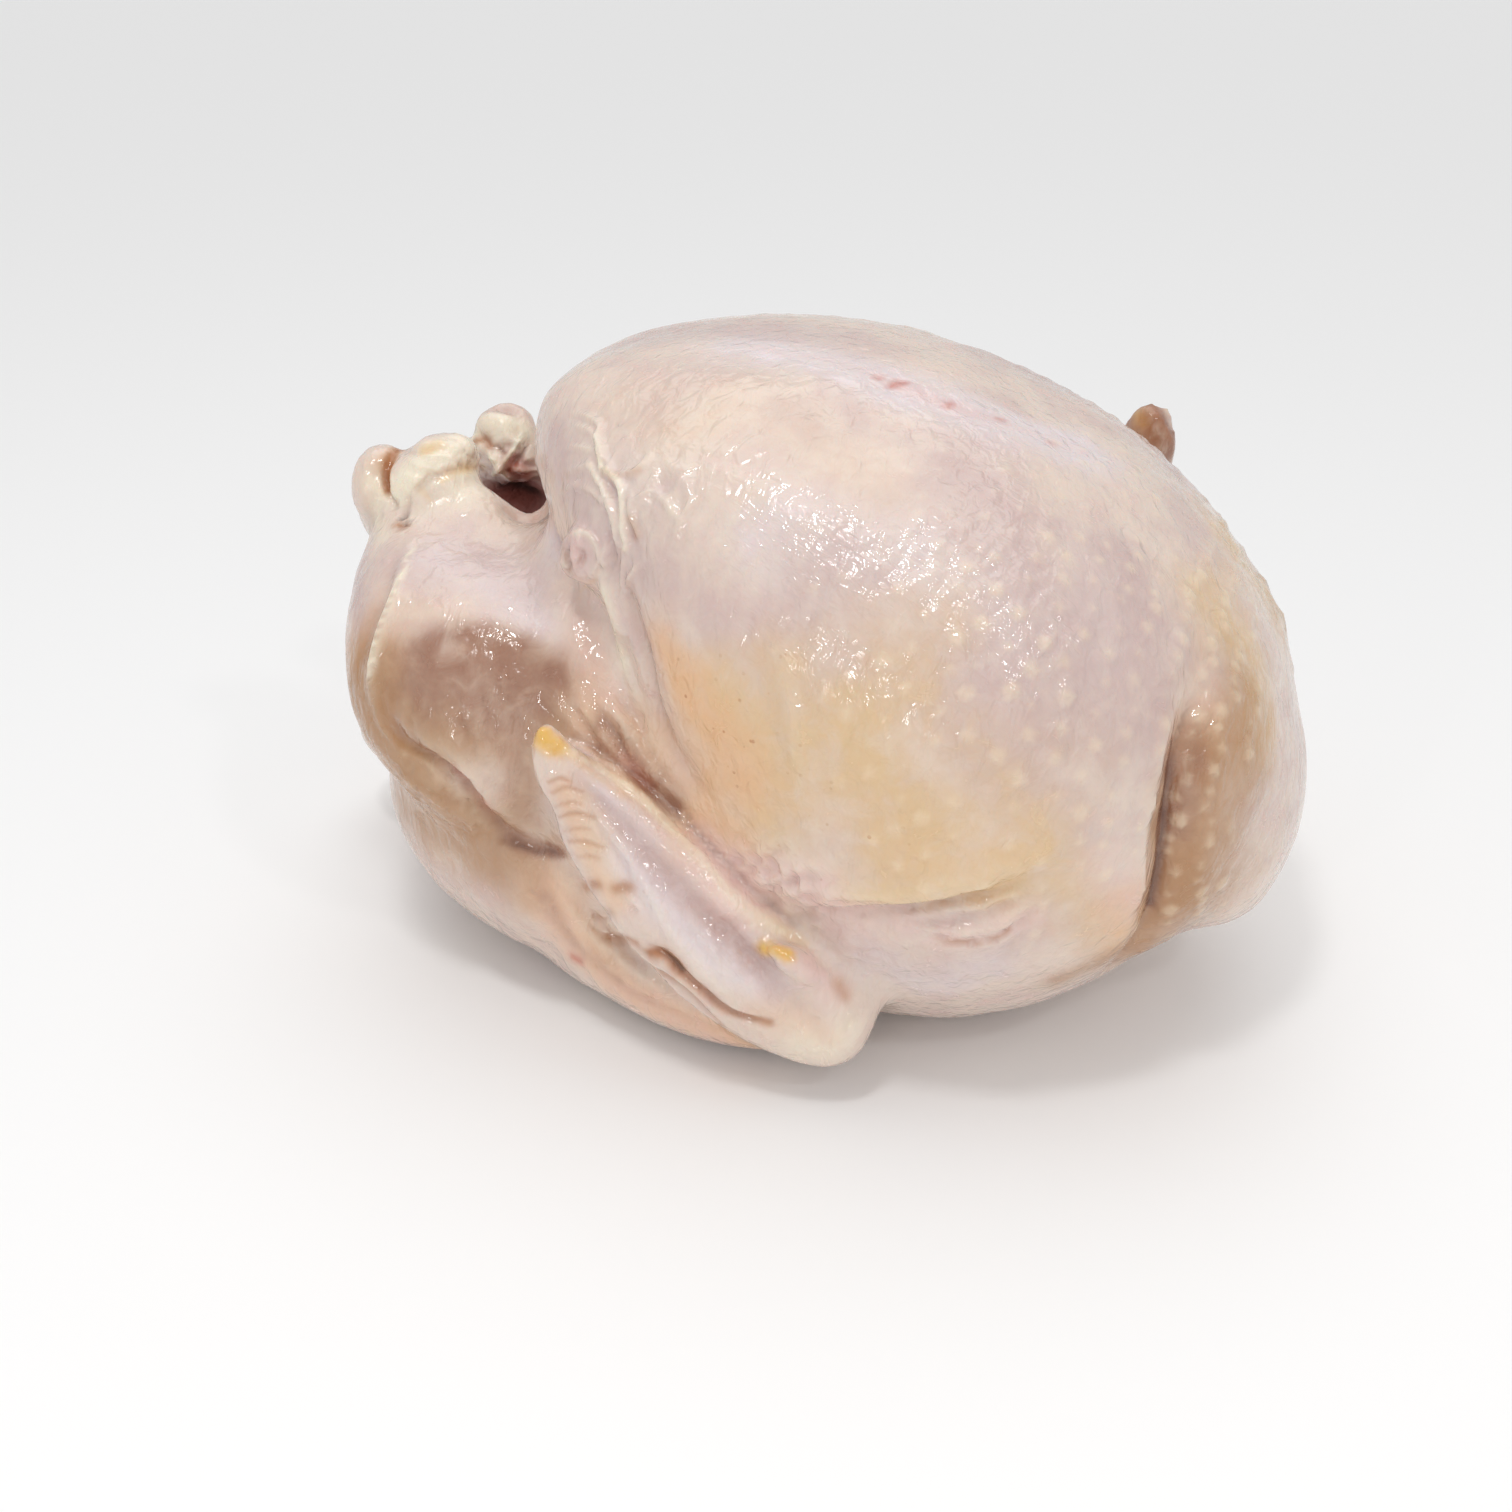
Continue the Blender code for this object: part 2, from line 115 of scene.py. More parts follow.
# Relief lines: pixels of the view, reach in pixels, height in mm (below zero cuts in), True if mirrored too
RELIEF = [
    # web of skin between the leg and the breast: its edge, the valleys beside it
    ([(598, 566), (608, 594), (618, 624), (627, 656), (635, 690), (643, 722)], 9, 1.9, True),
    ([(616, 572), (630, 610), (643, 650), (655, 700), (672, 745), (700, 790)], 10, -2.6, True),
    ([(566, 574), (580, 612), (592, 652), (602, 692), (616, 722)], 13, -1.8, True),
    # outer edge of the drumstick and the flat beside it
    ([(414, 543), (397, 588), (381, 630), (372, 672), (376, 698)], 5, 1.5, True),
    ([(404, 548), (385, 592), (369, 634), (360, 672)], 8, -1.4, True),
    # crease under the drumstick
    ([(384, 706), (400, 732), (416, 748), (448, 764), (464, 778), (482, 802), (504, 824), (528, 842),
      (558, 850)], 6, -1.7, True),
    ([(402, 722), (424, 740), (452, 754), (474, 776), (494, 800), (520, 820), (548, 834)], 8, 0.9, True),
    ([(412, 748), (430, 764), (452, 778), (470, 800), (492, 826)], 6, 0.8, True),
    ([(436, 752), (448, 768), (452, 784)], 3.5, -1.0, True),
    ([(470, 776), (466, 792), (474, 808)], 3.5, -0.8, True),
    ([(500, 812), (500, 830), (512, 846)], 3.5, -0.8, True),
    # free tab of skin: its raised rim and the shade beside it
    ([(574, 532), (587, 534), (597, 546), (598, 562), (590, 577)], 3.5, 1.2, True),
    ([(573, 546), (581, 557), (577, 572)], 5, -1.9, True),
    ([(546, 518), (550, 538), (560, 556)], 8, -2.6, True),
    ([(565, 537), (563, 556), (569, 575)], 5, -2.4, True),
    ([(606, 528), (611, 550), (606, 580)], 4, -1.4, True),
    # gap between the legs
    ([(500, 488), (515, 497), (530, 503), (540, 512)], 22, -7.0),
    # strands on the inside of the leg
    ([(488, 655), (490, 676), (493, 696), (501, 722)], 4, 0.7, True),
    ([(506, 722), (509, 712), (516, 706)], 4, 0.6), ([(452, 700), (462, 730), (474, 756)], 6, -0.5, True),
    ([(520, 722), (524, 752), (532, 790), (540, 822)], 6, -0.7, True),
    # strands between the leg and the hand
    ([(562, 690), (580, 716), (596, 742), (606, 766)], 5, -1.3, True),
    ([(586, 694), (604, 722), (626, 752), (652, 784)], 5, -1.6, True),
    ([(598, 690), (618, 718), (640, 748), (664, 780)], 5, 1.0, True),
    ([(616, 692), (640, 728), (656, 760), (690, 800)], 5, -1.2, True),
    ([(650, 742), (664, 770), (684, 796), (700, 812)], 5, 0.8, True),
    # raised wrinkles at the rear of the breast
    ([(572, 412), (588, 417), (599, 425), (598, 436), (602, 448), (606, 460), (612, 471),
      (622, 476)], 3.4, 1.55, True),
    ([(596, 440), (600, 456), (603, 468), (613, 477), (622, 488), (625, 506), (625, 528),
      (626, 548)], 3.8, 2.02, True),
    ([(588, 462), (596, 476), (604, 488), (610, 500), (616, 515), (617, 534), (615, 550)], 3.4, 1.71, True),
    ([(578, 486), (592, 491), (602, 500), (610, 508), (614, 520)], 3.4, 1.4, True),
    ([(628, 488), (632, 500), (632, 515), (636, 530), (640, 543)], 3.4, 1.4, True),
    ([(620, 472), (634, 473), (644, 463), (649, 450)], 3.4, 1.4, True),
    ([(634, 503), (641, 498), (650, 494), (662, 489)], 3.4, 1.24, True),
    ([(634, 518), (638, 508), (648, 503), (656, 511)], 3.4, 1.08),
    ([(655, 496), (667, 503), (674, 514), (683, 522)], 3.4, 1.24, True),
    ([(622, 558), (620, 575), (618, 591)], 3.4, 1.24, True),
    ([(642, 560), (633, 572), (625, 584), (619, 597)], 3.4, 1.4, True),
    ([(606, 544), (603, 558), (606, 570)], 3.4, 1.24, True),
    ([(656, 530), (650, 545), (652, 560)], 3.4, 0.78),
    ([(694, 500), (686, 513), (680, 527), (678, 540)], 3.4, 0.93, True),
    ([(736, 516), (726, 530), (717, 546)], 3.4, 0.93, True),
    ([(726, 548), (719, 561), (714, 573)], 3.4, 0.93), ([(742, 548), (732, 566), (727, 580)], 3.4, 0.78),
    ([(570, 446), (584, 448), (597, 452)], 3.4, 0.93, True),
    ([(568, 470), (580, 468), (591, 466)], 3.4, 0.93, True),
    ([(576, 425), (588, 430), (596, 437)], 3.4, 1.08, True),
    ([(560, 492), (572, 486), (584, 480)], 3.4, 0.78), ([(690, 468), (684, 480), (687, 492)], 3.4, 0.78),
    ([(612, 478), (606, 468), (600, 462)], 4.2, -1.08, True),
    ([(618, 500), (612, 488), (604, 478)], 4.2, -1.08, True),
    ([(632, 545), (629, 520), (629, 496)], 3, -0.93, True),
    # folds over the shoulder: the drawn skin's lip and the valleys under it
    ([(800, 897), (850, 895), (900, 897), (945, 889), (985, 878), (1030, 860)], 10, 1.6, True),
    ([(790, 911), (820, 908), (850, 909), (900, 909), (932, 903), (966, 896), (1002, 888),
      (1042, 872)], 6, -1.8, True),
    ([(880, 914), (916, 921), (950, 923), (984, 913), (1006, 900), (1030, 890)], 4.5, -0.9, True),
    ([(906, 932), (940, 935), (966, 939), (990, 935), (1012, 925), (1028, 916)], 3.6, -1.1, True),
    ([(900, 925), (940, 928), (970, 930), (1000, 921), (1022, 908)], 5, 0.8, True),
    ([(940, 908), (980, 903), (1020, 888)], 3.5, 0.8, True),
    ([(950, 916), (990, 908), (1030, 892)], 3.5, -0.8, True),
    ([(960, 944), (1000, 938), (1036, 922)], 3.5, 0.8, True),
    ([(900, 903), (880, 899), (850, 900), (815, 903)], 3.5, -0.8, True),
    ([(1036, 900), (1024, 925), (1010, 945), (1000, 965)], 6, -0.7),
    # tip of the right wing
    ([(1160, 407), (1171, 420), (1176, 440)], 11, -3.4), ([(1142, 416), (1152, 432), (1160, 446)], 5, -1.2),
    ([(1156, 418), (1160, 440), (1166, 458)], 4, 1.0), ([(1052, 898), (1046, 925), (1030, 950)], 6, -0.6),
    # gathered skin above the hand
    ([(736, 882), (760, 864), (782, 850)], 4.5, -0.8, True),
    ([(752, 856), (766, 846), (778, 839), (792, 846), (800, 856)], 4, 0.8),
    ([(745, 900), (775, 885), (802, 878), (832, 881)], 4.5, -0.9, True),
    ([(750, 889), (785, 871), (812, 866), (842, 875)], 4.5, 0.7, True),
    ([(758, 911), (790, 899), (832, 893)], 4.5, -0.8, True),
    ([(772, 926), (800, 915), (826, 918)], 4.5, -0.7, True),
    # edge of the breast muscle
    ([(768, 640), (782, 665), (791, 700), (797, 750), (800, 800)], 9, 0.9, True),
    ([(760, 640), (772, 668), (781, 704), (786, 752), (789, 800)], 9, -0.6, True),
    # between the breast and the loose neck skin
    ([(1202, 688), (1188, 714), (1177, 745), (1171, 780), (1168, 810), (1163, 840), (1158, 870),
      (1151, 900), (1141, 925), (1125, 950), (1108, 970)], 5, -2.0, True),
    ([(1186, 690), (1172, 716), (1162, 746), (1156, 780), (1152, 810), (1147, 840), (1142, 870),
      (1134, 900)], 8, 0.8, True),
    # left hand: leading edge and the hollow behind it, quill flap, slits, feather ribs
    ([(562, 744), (600, 770), (650, 806), (700, 858), (740, 902), (780, 930), (820, 957)], 5, 1.1),
    ([(578, 738), (622, 768), (670, 806), (718, 856), (758, 896), (792, 922)], 5, -1.8),
    ([(560, 760), (590, 792), (625, 826), (660, 866), (700, 910), (735, 945), (765, 975),
      (795, 1008)], 11, -2.6),
    ([(700, 900), (728, 928), (752, 950), (768, 972)], 6, -1.0),
    ([(576, 790), (600, 828), (625, 868), (645, 902), (662, 936)], 5, -0.9),
    ([(588, 800), (612, 836), (636, 872), (656, 905), (674, 940), (704, 975), (738, 1004)], 6, 0.8),
    ([(643, 957), (658, 952), (672, 962), (683, 976), (702, 993), (722, 1010), (746, 1020),
      (770, 1024)], 4.5, -2.2),
    ([(655, 973), (675, 985), (694, 1000), (706, 1014), (722, 1028)], 4, -1.2),
    ([(664, 962), (684, 984), (706, 1004), (730, 1018)], 4, 0.6),
    *((pixels, reach, height) for pixels, reach, height, _ in RIBS),
    ([(586, 888), (596, 886)], 5, -0.8), ([(614, 890), (628, 888)], 5, -0.8),
    ([(600, 916), (610, 914)], 5, -0.7), ([(628, 914), (638, 911)], 5, -0.7),
    ([(610, 936), (622, 940), (634, 944)], 5, -1.0),
    # left forearm: long wrinkles
    ([(543, 880), (558, 915), (584, 950), (612, 976), (652, 1002)], 5, -1.1),
    ([(560, 872), (575, 905), (600, 938), (640, 972), (690, 1010)], 6, 0.9),
    ([(570, 868), (590, 905), (616, 936), (650, 968), (700, 1006)], 5, -1.0),
    ([(550, 905), (570, 936), (600, 966)], 5, 0.7),
    ([(600, 975), (640, 996), (690, 1018), (740, 1038)], 5, -0.8),
    # wrist
    ([(862, 1010), (850, 1024), (846, 1042)], 6, -0.8), ([(800, 1002), (812, 1020), (822, 1045)], 7, -0.6),
    # left hock: grooves between the knuckles and the skin's edge
    ([(402, 446), (392, 458), (386, 474), (388, 490), (394, 503), (404, 518)], 4.5, -2.4),
    ([(408, 496), (406, 510), (404, 526)], 4, -2.2),
    ([(408, 506), (415, 492), (430, 480), (446, 473), (470, 468), (492, 473)], 4.5, -1.6),
    ([(404, 452), (420, 455), (436, 450)], 5, -1.0),
    ([(430, 497), (424, 482), (434, 468), (446, 460)], 5, -0.8),
    ([(462, 464), (480, 458), (490, 464)], 5, -0.9), ([(376, 466), (372, 490), (378, 515)], 6, -0.7),
    # right hock and the sinews crossing on it
    (LONG_SINEW, 3, 2.2), (SHORT_SINEW, 3, 2.0), (UNDER_LONG, 3, -1.6), (UNDER_SHORT, 4, -1.6),
    ([(478, 408), (500, 403), (524, 411)], 15, -3.4), ([(464, 428), (467, 456)], 10, 1.8),
    ([(466, 440), (474, 430), (482, 436), (490, 446)], 5, -1.8),
    ([(490, 448), (505, 446), (522, 450)], 4.5, -1.4), ([(512, 424), (518, 436), (530, 446)], 5, -1.2),
    ([(506, 462), (515, 459), (525, 461)], 4.5, -1.6), ([(508, 474), (516, 471), (525, 473)], 4.5, 1.0),
]

# Fields of fine gathered skin: middle, radius in pixels, height in mm, direction of the folds in the view
GATHERS = [
    ((632, 500), 70, 0.74, (0.1, 1)), ((700, 530), 60, 0.47, (-0.5, 1)),
    ((780, 880), 64, 1.1, (1, -0.35)), ((990, 910), 46, 0.61, (1, -0.45)),
    ((930, 935), 60, 0.54, (1, 0.1)), ((620, 735), 46, 1.08, (0.6, 1)),
    ((960, 580), 60, 0.38, (-0.6, 1)), ((1030, 620), 55, 0.51, (-0.8, 1)),
    ((600, 930), 60, 0.81, (0.7, 1)), ((700, 960), 60, 0.47, (0.8, 1)),
    ((440, 790), 60, 0.94, (0.8, 1)), ((480, 740), 60, 0.7, (0.5, 1)), ((400, 690), 50, 0.5, (0.2, 1)),
    ((640, 860), 36, 0.6, (0.7, 1)), ((720, 950), 40, 0.6, (0.7, 1)), ((520, 480), 34, 1.76, (1, 0.2)),
    ((385, 500), 34, 1.1, (0.2, 1)), ((436, 466), 36, 0.9, (1, 0.3)), ((505, 430), 30, 1.1, (0.5, 1)),
    ((1150, 430), 34, 1.2, (0.3, 1)), ((860, 560), 70, 0.34, (-0.5, 1)),
    ((770, 600), 60, 0.3, (-0.4, 1)), ((500, 640), 60, 0.35, (0.3, 1)),
    ((680, 860), 46, 0.4, (0.8, 1)), ((1185, 800), 50, 0.55, (0.1, 1)),
]

# Fields where feather follicles stand out: middle, radius in pixels, strength
FOLLICLES = [
    ((1000, 700), 150, 1.0), ((1100, 820), 120, 1.1), ((900, 820), 110, 0.85), ((1060, 560), 110, 0.8),
    ((1200, 620), 100, 1.1), ((1240, 700), 70, 1.1), ((1180, 830), 60, 1.4), ((1210, 760), 60, 1.4),
    ((860, 700), 80, 0.7), ((940, 480), 90, 0.5), ((700, 380), 100, 0.3), ((1080, 900), 80, 0.9),
    ((440, 540), 60, 0.45), ((720, 740), 60, 0.35), ((1120, 480), 80, 0.7), ((420, 760), 60, 0.6),
    ((500, 760), 60, 0.4), ((1200, 900), 60, 1.3), ((800, 400), 90, 0.3),
]

# Colour marks: a spot or a line in pixels of the view, reach in pixels, strength, True if mirrored too
MARKS = {
    "crinkle": [
        ([(760, 570), (860, 560), (960, 580), (1040, 620)], 66, 1, True),
        ([(1000, 510), (1050, 580)], 46, 0.8, True), ([(640, 470), (620, 560)], 46, 0.5, True),
        ([(524, 598), (505, 622)], 24, 0.8, True),
        ([(600, 805), (650, 865), (730, 960), (770, 1000)], 30, 0.6),
        ([(780, 880), (880, 905), (1000, 915)], 40, 0.9, True), ([(600, 690), (650, 770)], 34, 0.8, True),
    ],
    # Pale bluish skin tone, painted partly as the sheen of wet highlights on the breast, the leg's top and
    # the hand's trough
    "milky_sheen": [
        (BREAST_RIDGE, 44, 0.9),
        ([(780, 540), (880, 560), (960, 560), (1020, 620)], 70, 0.6, True),
        ([(440, 560), (500, 580), (540, 620)], 44, 0.7, True), ([(620, 480), (600, 540)], 40, 0.4, True),
        ([(1100, 560), (1130, 640)], 40, 0.4, True),
        ([(600, 800), (640, 860), (700, 930), (760, 985)], 24, 0.95),
        ([(878, 960), (930, 985), (990, 965)], 34, 0.7, True), ([(540, 530), (552, 545)], 16, 0.8),
    ],
    "fat": [
        ([(740, 400), (820, 440), (880, 490)], 62, 0.3, True), ([(620, 400), (660, 430)], 42, 0.25, True),
        ([(720, 700), (770, 760), (760, 820)], 58, 0.85, True),
        ([(850, 740), (880, 800), (900, 850)], 62, 0.85, True), ([(960, 830), (1010, 850)], 50, 0.6, True),
        ([(1210, 600), (1250, 660), (1262, 720)], 48, 0.75, True),
        ([(850, 897), (930, 893), (1000, 880)], 18, 0.9, True),
        ([(1040, 860), (1080, 900), (1110, 930)], 44, 0.6, True),
        ([(900, 700), (1000, 760), (1060, 820)], 60, 0.35, True), ([(880, 620), (950, 610)], 40, 0.3),
        ([(560, 590), (575, 640)], 26, 0.3, True),
        ([(562, 744), (600, 770), (650, 806), (700, 858), (740, 902), (800, 944)], 9, 0.6),
        ([(585, 800), (600, 840)], 22, 0.5),
    ],
    "peach": [
        ([(690, 690), (720, 740), (740, 780)], 48, 0.75, True), ([(660, 640), (680, 680)], 26, 0.6, True),
        ([(700, 820), (740, 850)], 34, 0.8, True), ([(1210, 740), (1195, 800), (1180, 860)], 56, 0.6, True),
        ([(1120, 900), (1130, 940)], 34, 0.6, True), ([(590, 720), (640, 770)], 40, 0.6, True),
        ([(396, 452), (382, 466), (384, 490)], 13, 0.6), ([(562, 790), (590, 860), (612, 900)], 16, 0.5),
        ([(545, 890), (590, 950), (650, 1005), (740, 1040)], 30, 0.8), ([(760, 1010), (830, 1040)], 26, 0.4),
        ([(840, 800), (900, 850), (1000, 860)], 60, 0.25, True), ([(470, 650), (530, 670)], 46, 0.3, True),
        ([(362, 690), (384, 740), (412, 776)], 38, 0.85, True),
        ([(364, 690), (380, 760), (430, 815)], 110, 0.45, True),
    ],
    "lilac": [
        ([(552, 440), (575, 500), (590, 560)], 38, 0.8, True),
        ([(640, 560), (690, 590), (720, 620)], 42, 0.7, True), ([(840, 560), (880, 570)], 40, 0.5),
        ([(950, 470), (1000, 520), (1040, 600), (1050, 690)], 62, 0.75, True),
        ([(1120, 560), (1150, 650), (1160, 740)], 46, 0.8, True),
        ([(960, 700), (1000, 760)], 54, 0.95, True), ([(800, 620), (850, 660)], 56, 0.55, True),
        ([(870, 950), (930, 970), (990, 960)], 44, 0.45, True),
        ([(362, 560), (358, 620), (366, 680)], 26, 0.9, True), ([(400, 570), (430, 590)], 26, 0.5, True),
        ([(430, 556), (500, 556), (540, 570)], 40, 0.35, True), ([(480, 560), (540, 600)], 40, 0.45, True),
        # lilac in the groove beside the web's ridge: the skin's tone with painted shade
        ([(622, 600), (634, 650)], 14, 0.4, True),
        ([(600, 800), (640, 850), (690, 905), (740, 960), (770, 990)], 20, 0.55),
        # painted shade in the groove between the hand's bone ridge and its trough
        ([(700, 905), (740, 940), (764, 970)], 10, 0.7),
        ([(660, 330), (760, 330), (860, 350)], 44, 0.4, True),
        ([(724, 846), (786, 886), (830, 908)], 34, 0.6, True),
    ],
    "pink": [
        (BREAST_RIDGE, 14, 0.4),
        ([(572, 545), (585, 600), (600, 660), (620, 700)], 24, 0.45, True),
        ([(740, 880), (790, 880), (830, 900)], 36, 0.8, True),
        ([(870, 920), (960, 935), (1030, 920)], 26, 0.55, True), ([(810, 965), (838, 992)], 18, 0.7),
        ([(540, 890), (580, 950), (640, 1000), (720, 1040)], 30, 0.5),
        ([(1100, 860), (1130, 900)], 40, 0.5, True), ([(700, 840), (730, 870)], 30, 0.6, True),
        ([(512, 458), (526, 470)], 13, 0.9), ([(700, 600), (760, 620)], 40, 0.3, True),
    ],
    # Bruised and dried skin, and painted shade in creases, crevices, grooves and under the hand's edge
    "brown_and_shade": [
        ([(424, 648), (446, 636), (484, 637), (518, 652), (546, 672)], 21, 0.7, True),
        ([(430, 672), (480, 668), (526, 688)], 32, 0.85, True), ([(440, 706), (500, 716)], 36, 0.5, True),
        # painted shade along the crease under the drumstick
        ([(400, 730), (450, 768), (500, 822), (550, 846)], 11, 0.55, True),
        ([(602, 726), (636, 764), (676, 802)], 19, 0.75, True),
        # painted shade in the crevice between the leg and the forearm
        ([(508, 840), (534, 849), (562, 852)], 7, 0.8, True),
        ([(545, 895), (575, 940), (620, 980)], 10, 0.4),
        # painted shadow under the hand's leading edge
        ([(578, 736), (622, 766), (670, 804), (718, 854), (758, 894), (792, 920)], 6, 0.4),
        ([(1140, 414), (1150, 425), (1160, 438)], 40, 0.95), ([(1150, 420), (1164, 444)], 30, 0.8),
        # painted shade in the hole and the grooves beside the sinews
        ([(508, 468), (526, 474)], 9, 0.6), (UNDER_LONG, 3, 0.6), (UNDER_SHORT, 4, 0.6),
        # painted shade along the neck crease
        (NECK_EDGE, 6, 0.8, True),
        ([(1194, 728), (1190, 780), (1182, 826)], 22, 0.6, True),
        # painted shade in the crevice beside the tab
        ([(559, 540), (560, 556), (566, 572)], 4, 0.7, True),
    ],
    "tan": [
        ([(360, 690), (376, 736), (404, 778)], 64, 1, True), ([(400, 705), (440, 745)], 30, 0.6, True),
        ([(470, 640), (520, 654), (552, 690), (556, 730)], 22, 0.55, True),
        ([(385, 742), (430, 780), (480, 815)], 26, 0.7, True),
        ([(400, 800), (440, 830), (500, 860)], 56, 0.7, True),
        ([(450, 720), (520, 760), (520, 810)], 44, 0.6, True),
        ([(369, 474), (370, 505), (380, 534)], 16, 0.35), ([(402, 450), (388, 460), (384, 480)], 9, 0.7),
        ([(1245, 700), (1240, 790), (1215, 880)], 62, 0.6, True),
        ([(1195, 760), (1185, 830), (1175, 900), (1140, 950)], 40, 0.75, True),
        ([(1100, 960), (1060, 980)], 26, 0.6),
    ],
    # Cream gristle and sinew, and painted highlights along some ridges and edges
    "cream_and_highlight": [
        ([(400, 490), (430, 465), (470, 460)], 28, 1), ([(372, 480), (376, 510), (384, 540)], 14, 0.6),
        ([(415, 520), (440, 500), (480, 495), (510, 520)], 18, 0.5),
        ([(476, 432), (505, 424), (522, 430)], 22, 1),
        ([(576, 532), (588, 535), (597, 552)], 5, 0.45, True),
        # painted highlight along the web's ridge
        ([(604, 592), (616, 624), (628, 660)], 11, 0.8, True),
        (LONG_SINEW, 3, 0.9), (SHORT_SINEW, 3, 0.9),
        ([(850, 1030), (835, 1050), (800, 1050)], 30, 0.6),
        ([(562, 746), (600, 773), (650, 809), (700, 861), (740, 905), (780, 934)], 6, 0.5),
        # painted highlights along the drumstick's outer edge and along the crests of the rear wrinkles
        ([(415, 545), (397, 590), (381, 632), (372, 676)], 4, 0.8, True),
        ([(598, 440), (603, 466), (622, 488), (625, 548)], 4, 0.7),
        ([(590, 465), (606, 492), (617, 530)], 3.5, 0.5), ([(495, 452), (500, 476)], 6, 0.7),
    ],
    "yellow": [
        ([(543, 736), (556, 745)], 13, 1), ([(560, 745), (590, 772), (620, 796)], 8, 0.35),
        ([(764, 948), (774, 949), (788, 955)], 8, 0.9), ([(425, 450), (438, 446)], 8, 0.5),
        ([(440, 480), (460, 470), (482, 468)], 6, 0.5),
        ([(577, 590), (592, 582), (600, 572)], 4, 0.35, True), ([(1138, 411), (1143, 422)], 9, 0.6),
        ([(430, 500), (420, 490)], 7, 0.4),
    ],
    "amber": [
        ([(402, 447), (391, 458), (386, 474), (388, 490)], 5, 1), ([(398, 525), (406, 528)], 6, 0.9),
        ([(474, 442), (484, 438), (489, 445)], 6, 0.8),
        *((pixels, RIB_AMBER_REACH, shade) for pixels, _, _, shade in RIBS),
        ([(586, 888), (596, 886)], 5, 0.6), ([(614, 890), (628, 888)], 5, 0.6),
        ([(600, 916), (610, 914)], 5, 0.4), ([(610, 936), (622, 940), (634, 944)], 5, 0.7),
        ([(648, 955), (664, 955), (676, 968)], 7, 0.9),
        ([(680, 975), (704, 996), (730, 1016), (768, 1024)], 4, 0.7),
        ([(655, 973), (690, 996), (722, 1028)], 3.5, 0.5),
        ([(940, 938), (966, 941), (990, 937), (1012, 927)], 2.4, 0.6, True),
        ([(633, 520), (636, 535)], 4, 0.4), ([(606, 472), (620, 476)], 4, 0.4),
        ([(630, 474), (640, 472)], 3.5, 0.4), ([(840, 985), (846, 996)], 6, 0.5),
        ([(1143, 430), (1152, 444)], 16, 0.55), ([(1150, 412), (1168, 440)], 14, 0.35),
    ],
    "red": [
        ([(893, 386), (902, 383)], 4, 0.8), ([(878, 378)], 4, 0.6), ([(946, 406), (952, 404)], 3.4, 0.55),
        ([(1000, 420)], 4, 0.6), ([(1052, 444)], 4, 0.4), ([(626, 758), (646, 782)], 7, 0.22, True),
        ([(510, 466), (524, 476)], 11, 0.6), ([(575, 956), (582, 960)], 5, 0.7),
        ([(455, 768), (470, 782), (490, 808)], 7, 0.5, True),
        ([(900, 384), (950, 405), (1000, 421)], 9, 0.12),
    ],
    # Painted shade: near-black in the gap between the legs and in deep crevices and creases
    "gap_shade": [
        ([(502, 491), (514, 497), (532, 502)], 10, 1), ([(456, 770), (464, 776)], 4, 0.6),
        ([(514, 843), (534, 850), (556, 852)], 2.2, 0.4, True),
        (NECK_EDGE, 3, 0.4, True),
        ([(404, 516), (406, 528)], 3.5, 0.8), ([(664, 952), (680, 972)], 3, 0.6),
    ],
}

# Fields of small red pores: middle, radius in pixels
PORES = [
    ((720, 740), 70), ((760, 800), 60), ((680, 700), 40), ((420, 790), 50), ((860, 860), 40),
    ((740, 780), 60),
]
PORE_STRENGTH = 0.9

# Middle and half size of the hollow; where its dark colour, the inner wall's red darkened as painted shade,
# ends and how fast, how far a face looks inwards
HOLLOW = ((-0.058, 0, 0.090), (0.121, 0.044, 0.045))
HOLLOW_END, HOLLOW_FADE, HOLLOW_FACING = 1.12, 8, 0.4

# Where the skin has smaller faces, and where smaller ones again: rows as in the colour marks
FINE_FIELDS = [
    ([(380, 480), (430, 470), (500, 460), (530, 470)], 44, 1),
    ([(590, 430), (610, 480), (625, 520), (625, 580)], 44, 1), ([(660, 500), (700, 520)], 30, 1),
    ([(545, 745), (590, 820), (650, 900), (720, 980), (820, 1020)], 54, 1),
    ([(550, 880), (600, 960), (700, 1020)], 34, 1),
    ([(760, 870), (830, 890), (930, 915), (1010, 905)], 34, 1),
    ([(590, 560), (600, 640), (620, 720), (660, 780)], 34, 1), ([(400, 735), (460, 775), (540, 845)], 26, 1),
    ([(1172, 730), (1165, 800), (1150, 900)], 20, 1), ([(860, 560), (960, 580), (1030, 620)], 50, 1),
]
FINEST_FIELDS = [
    ([(588, 420), (606, 470), (622, 520), (625, 580)], 40, 1), ([(690, 490), (700, 530)], 20, 1),
    ([(545, 760), (580, 830), (620, 890)], 26, 1), ([(650, 960), (700, 1000), (760, 1024)], 20, 1),
    ([(380, 480), (430, 462), (490, 455), (530, 460)], 26, 1), ([(584, 540), (592, 580)], 22, 1),
]

REFINED = 0.5  # a field's share that an edge needs at both ends
REFINED_BULGE = 0.4

# Noise: how many values, and the numbers that mix the cells of its grid
NOISE_VALUES = 4096
NOISE_MIX = (73856093, 19349663, 83492791)
SWELLS = [(0.030, 3, 1.1), (0.013, 4, 0.45), (0.006, 5, 0.16)]  # size in metres, seed, height in mm
DRIFTS = [(0.020, 11, 0.35), (0.008, 12, 0.2)]  # size in metres, seed, share of a mark's reach

LINE_END = 0.03  # share of a line at each end where its relief falls no further
FACING_LEAST, FACING_SPAN = -0.1, 0.5  # how alike the skin faces where a mark starts, and on to its full
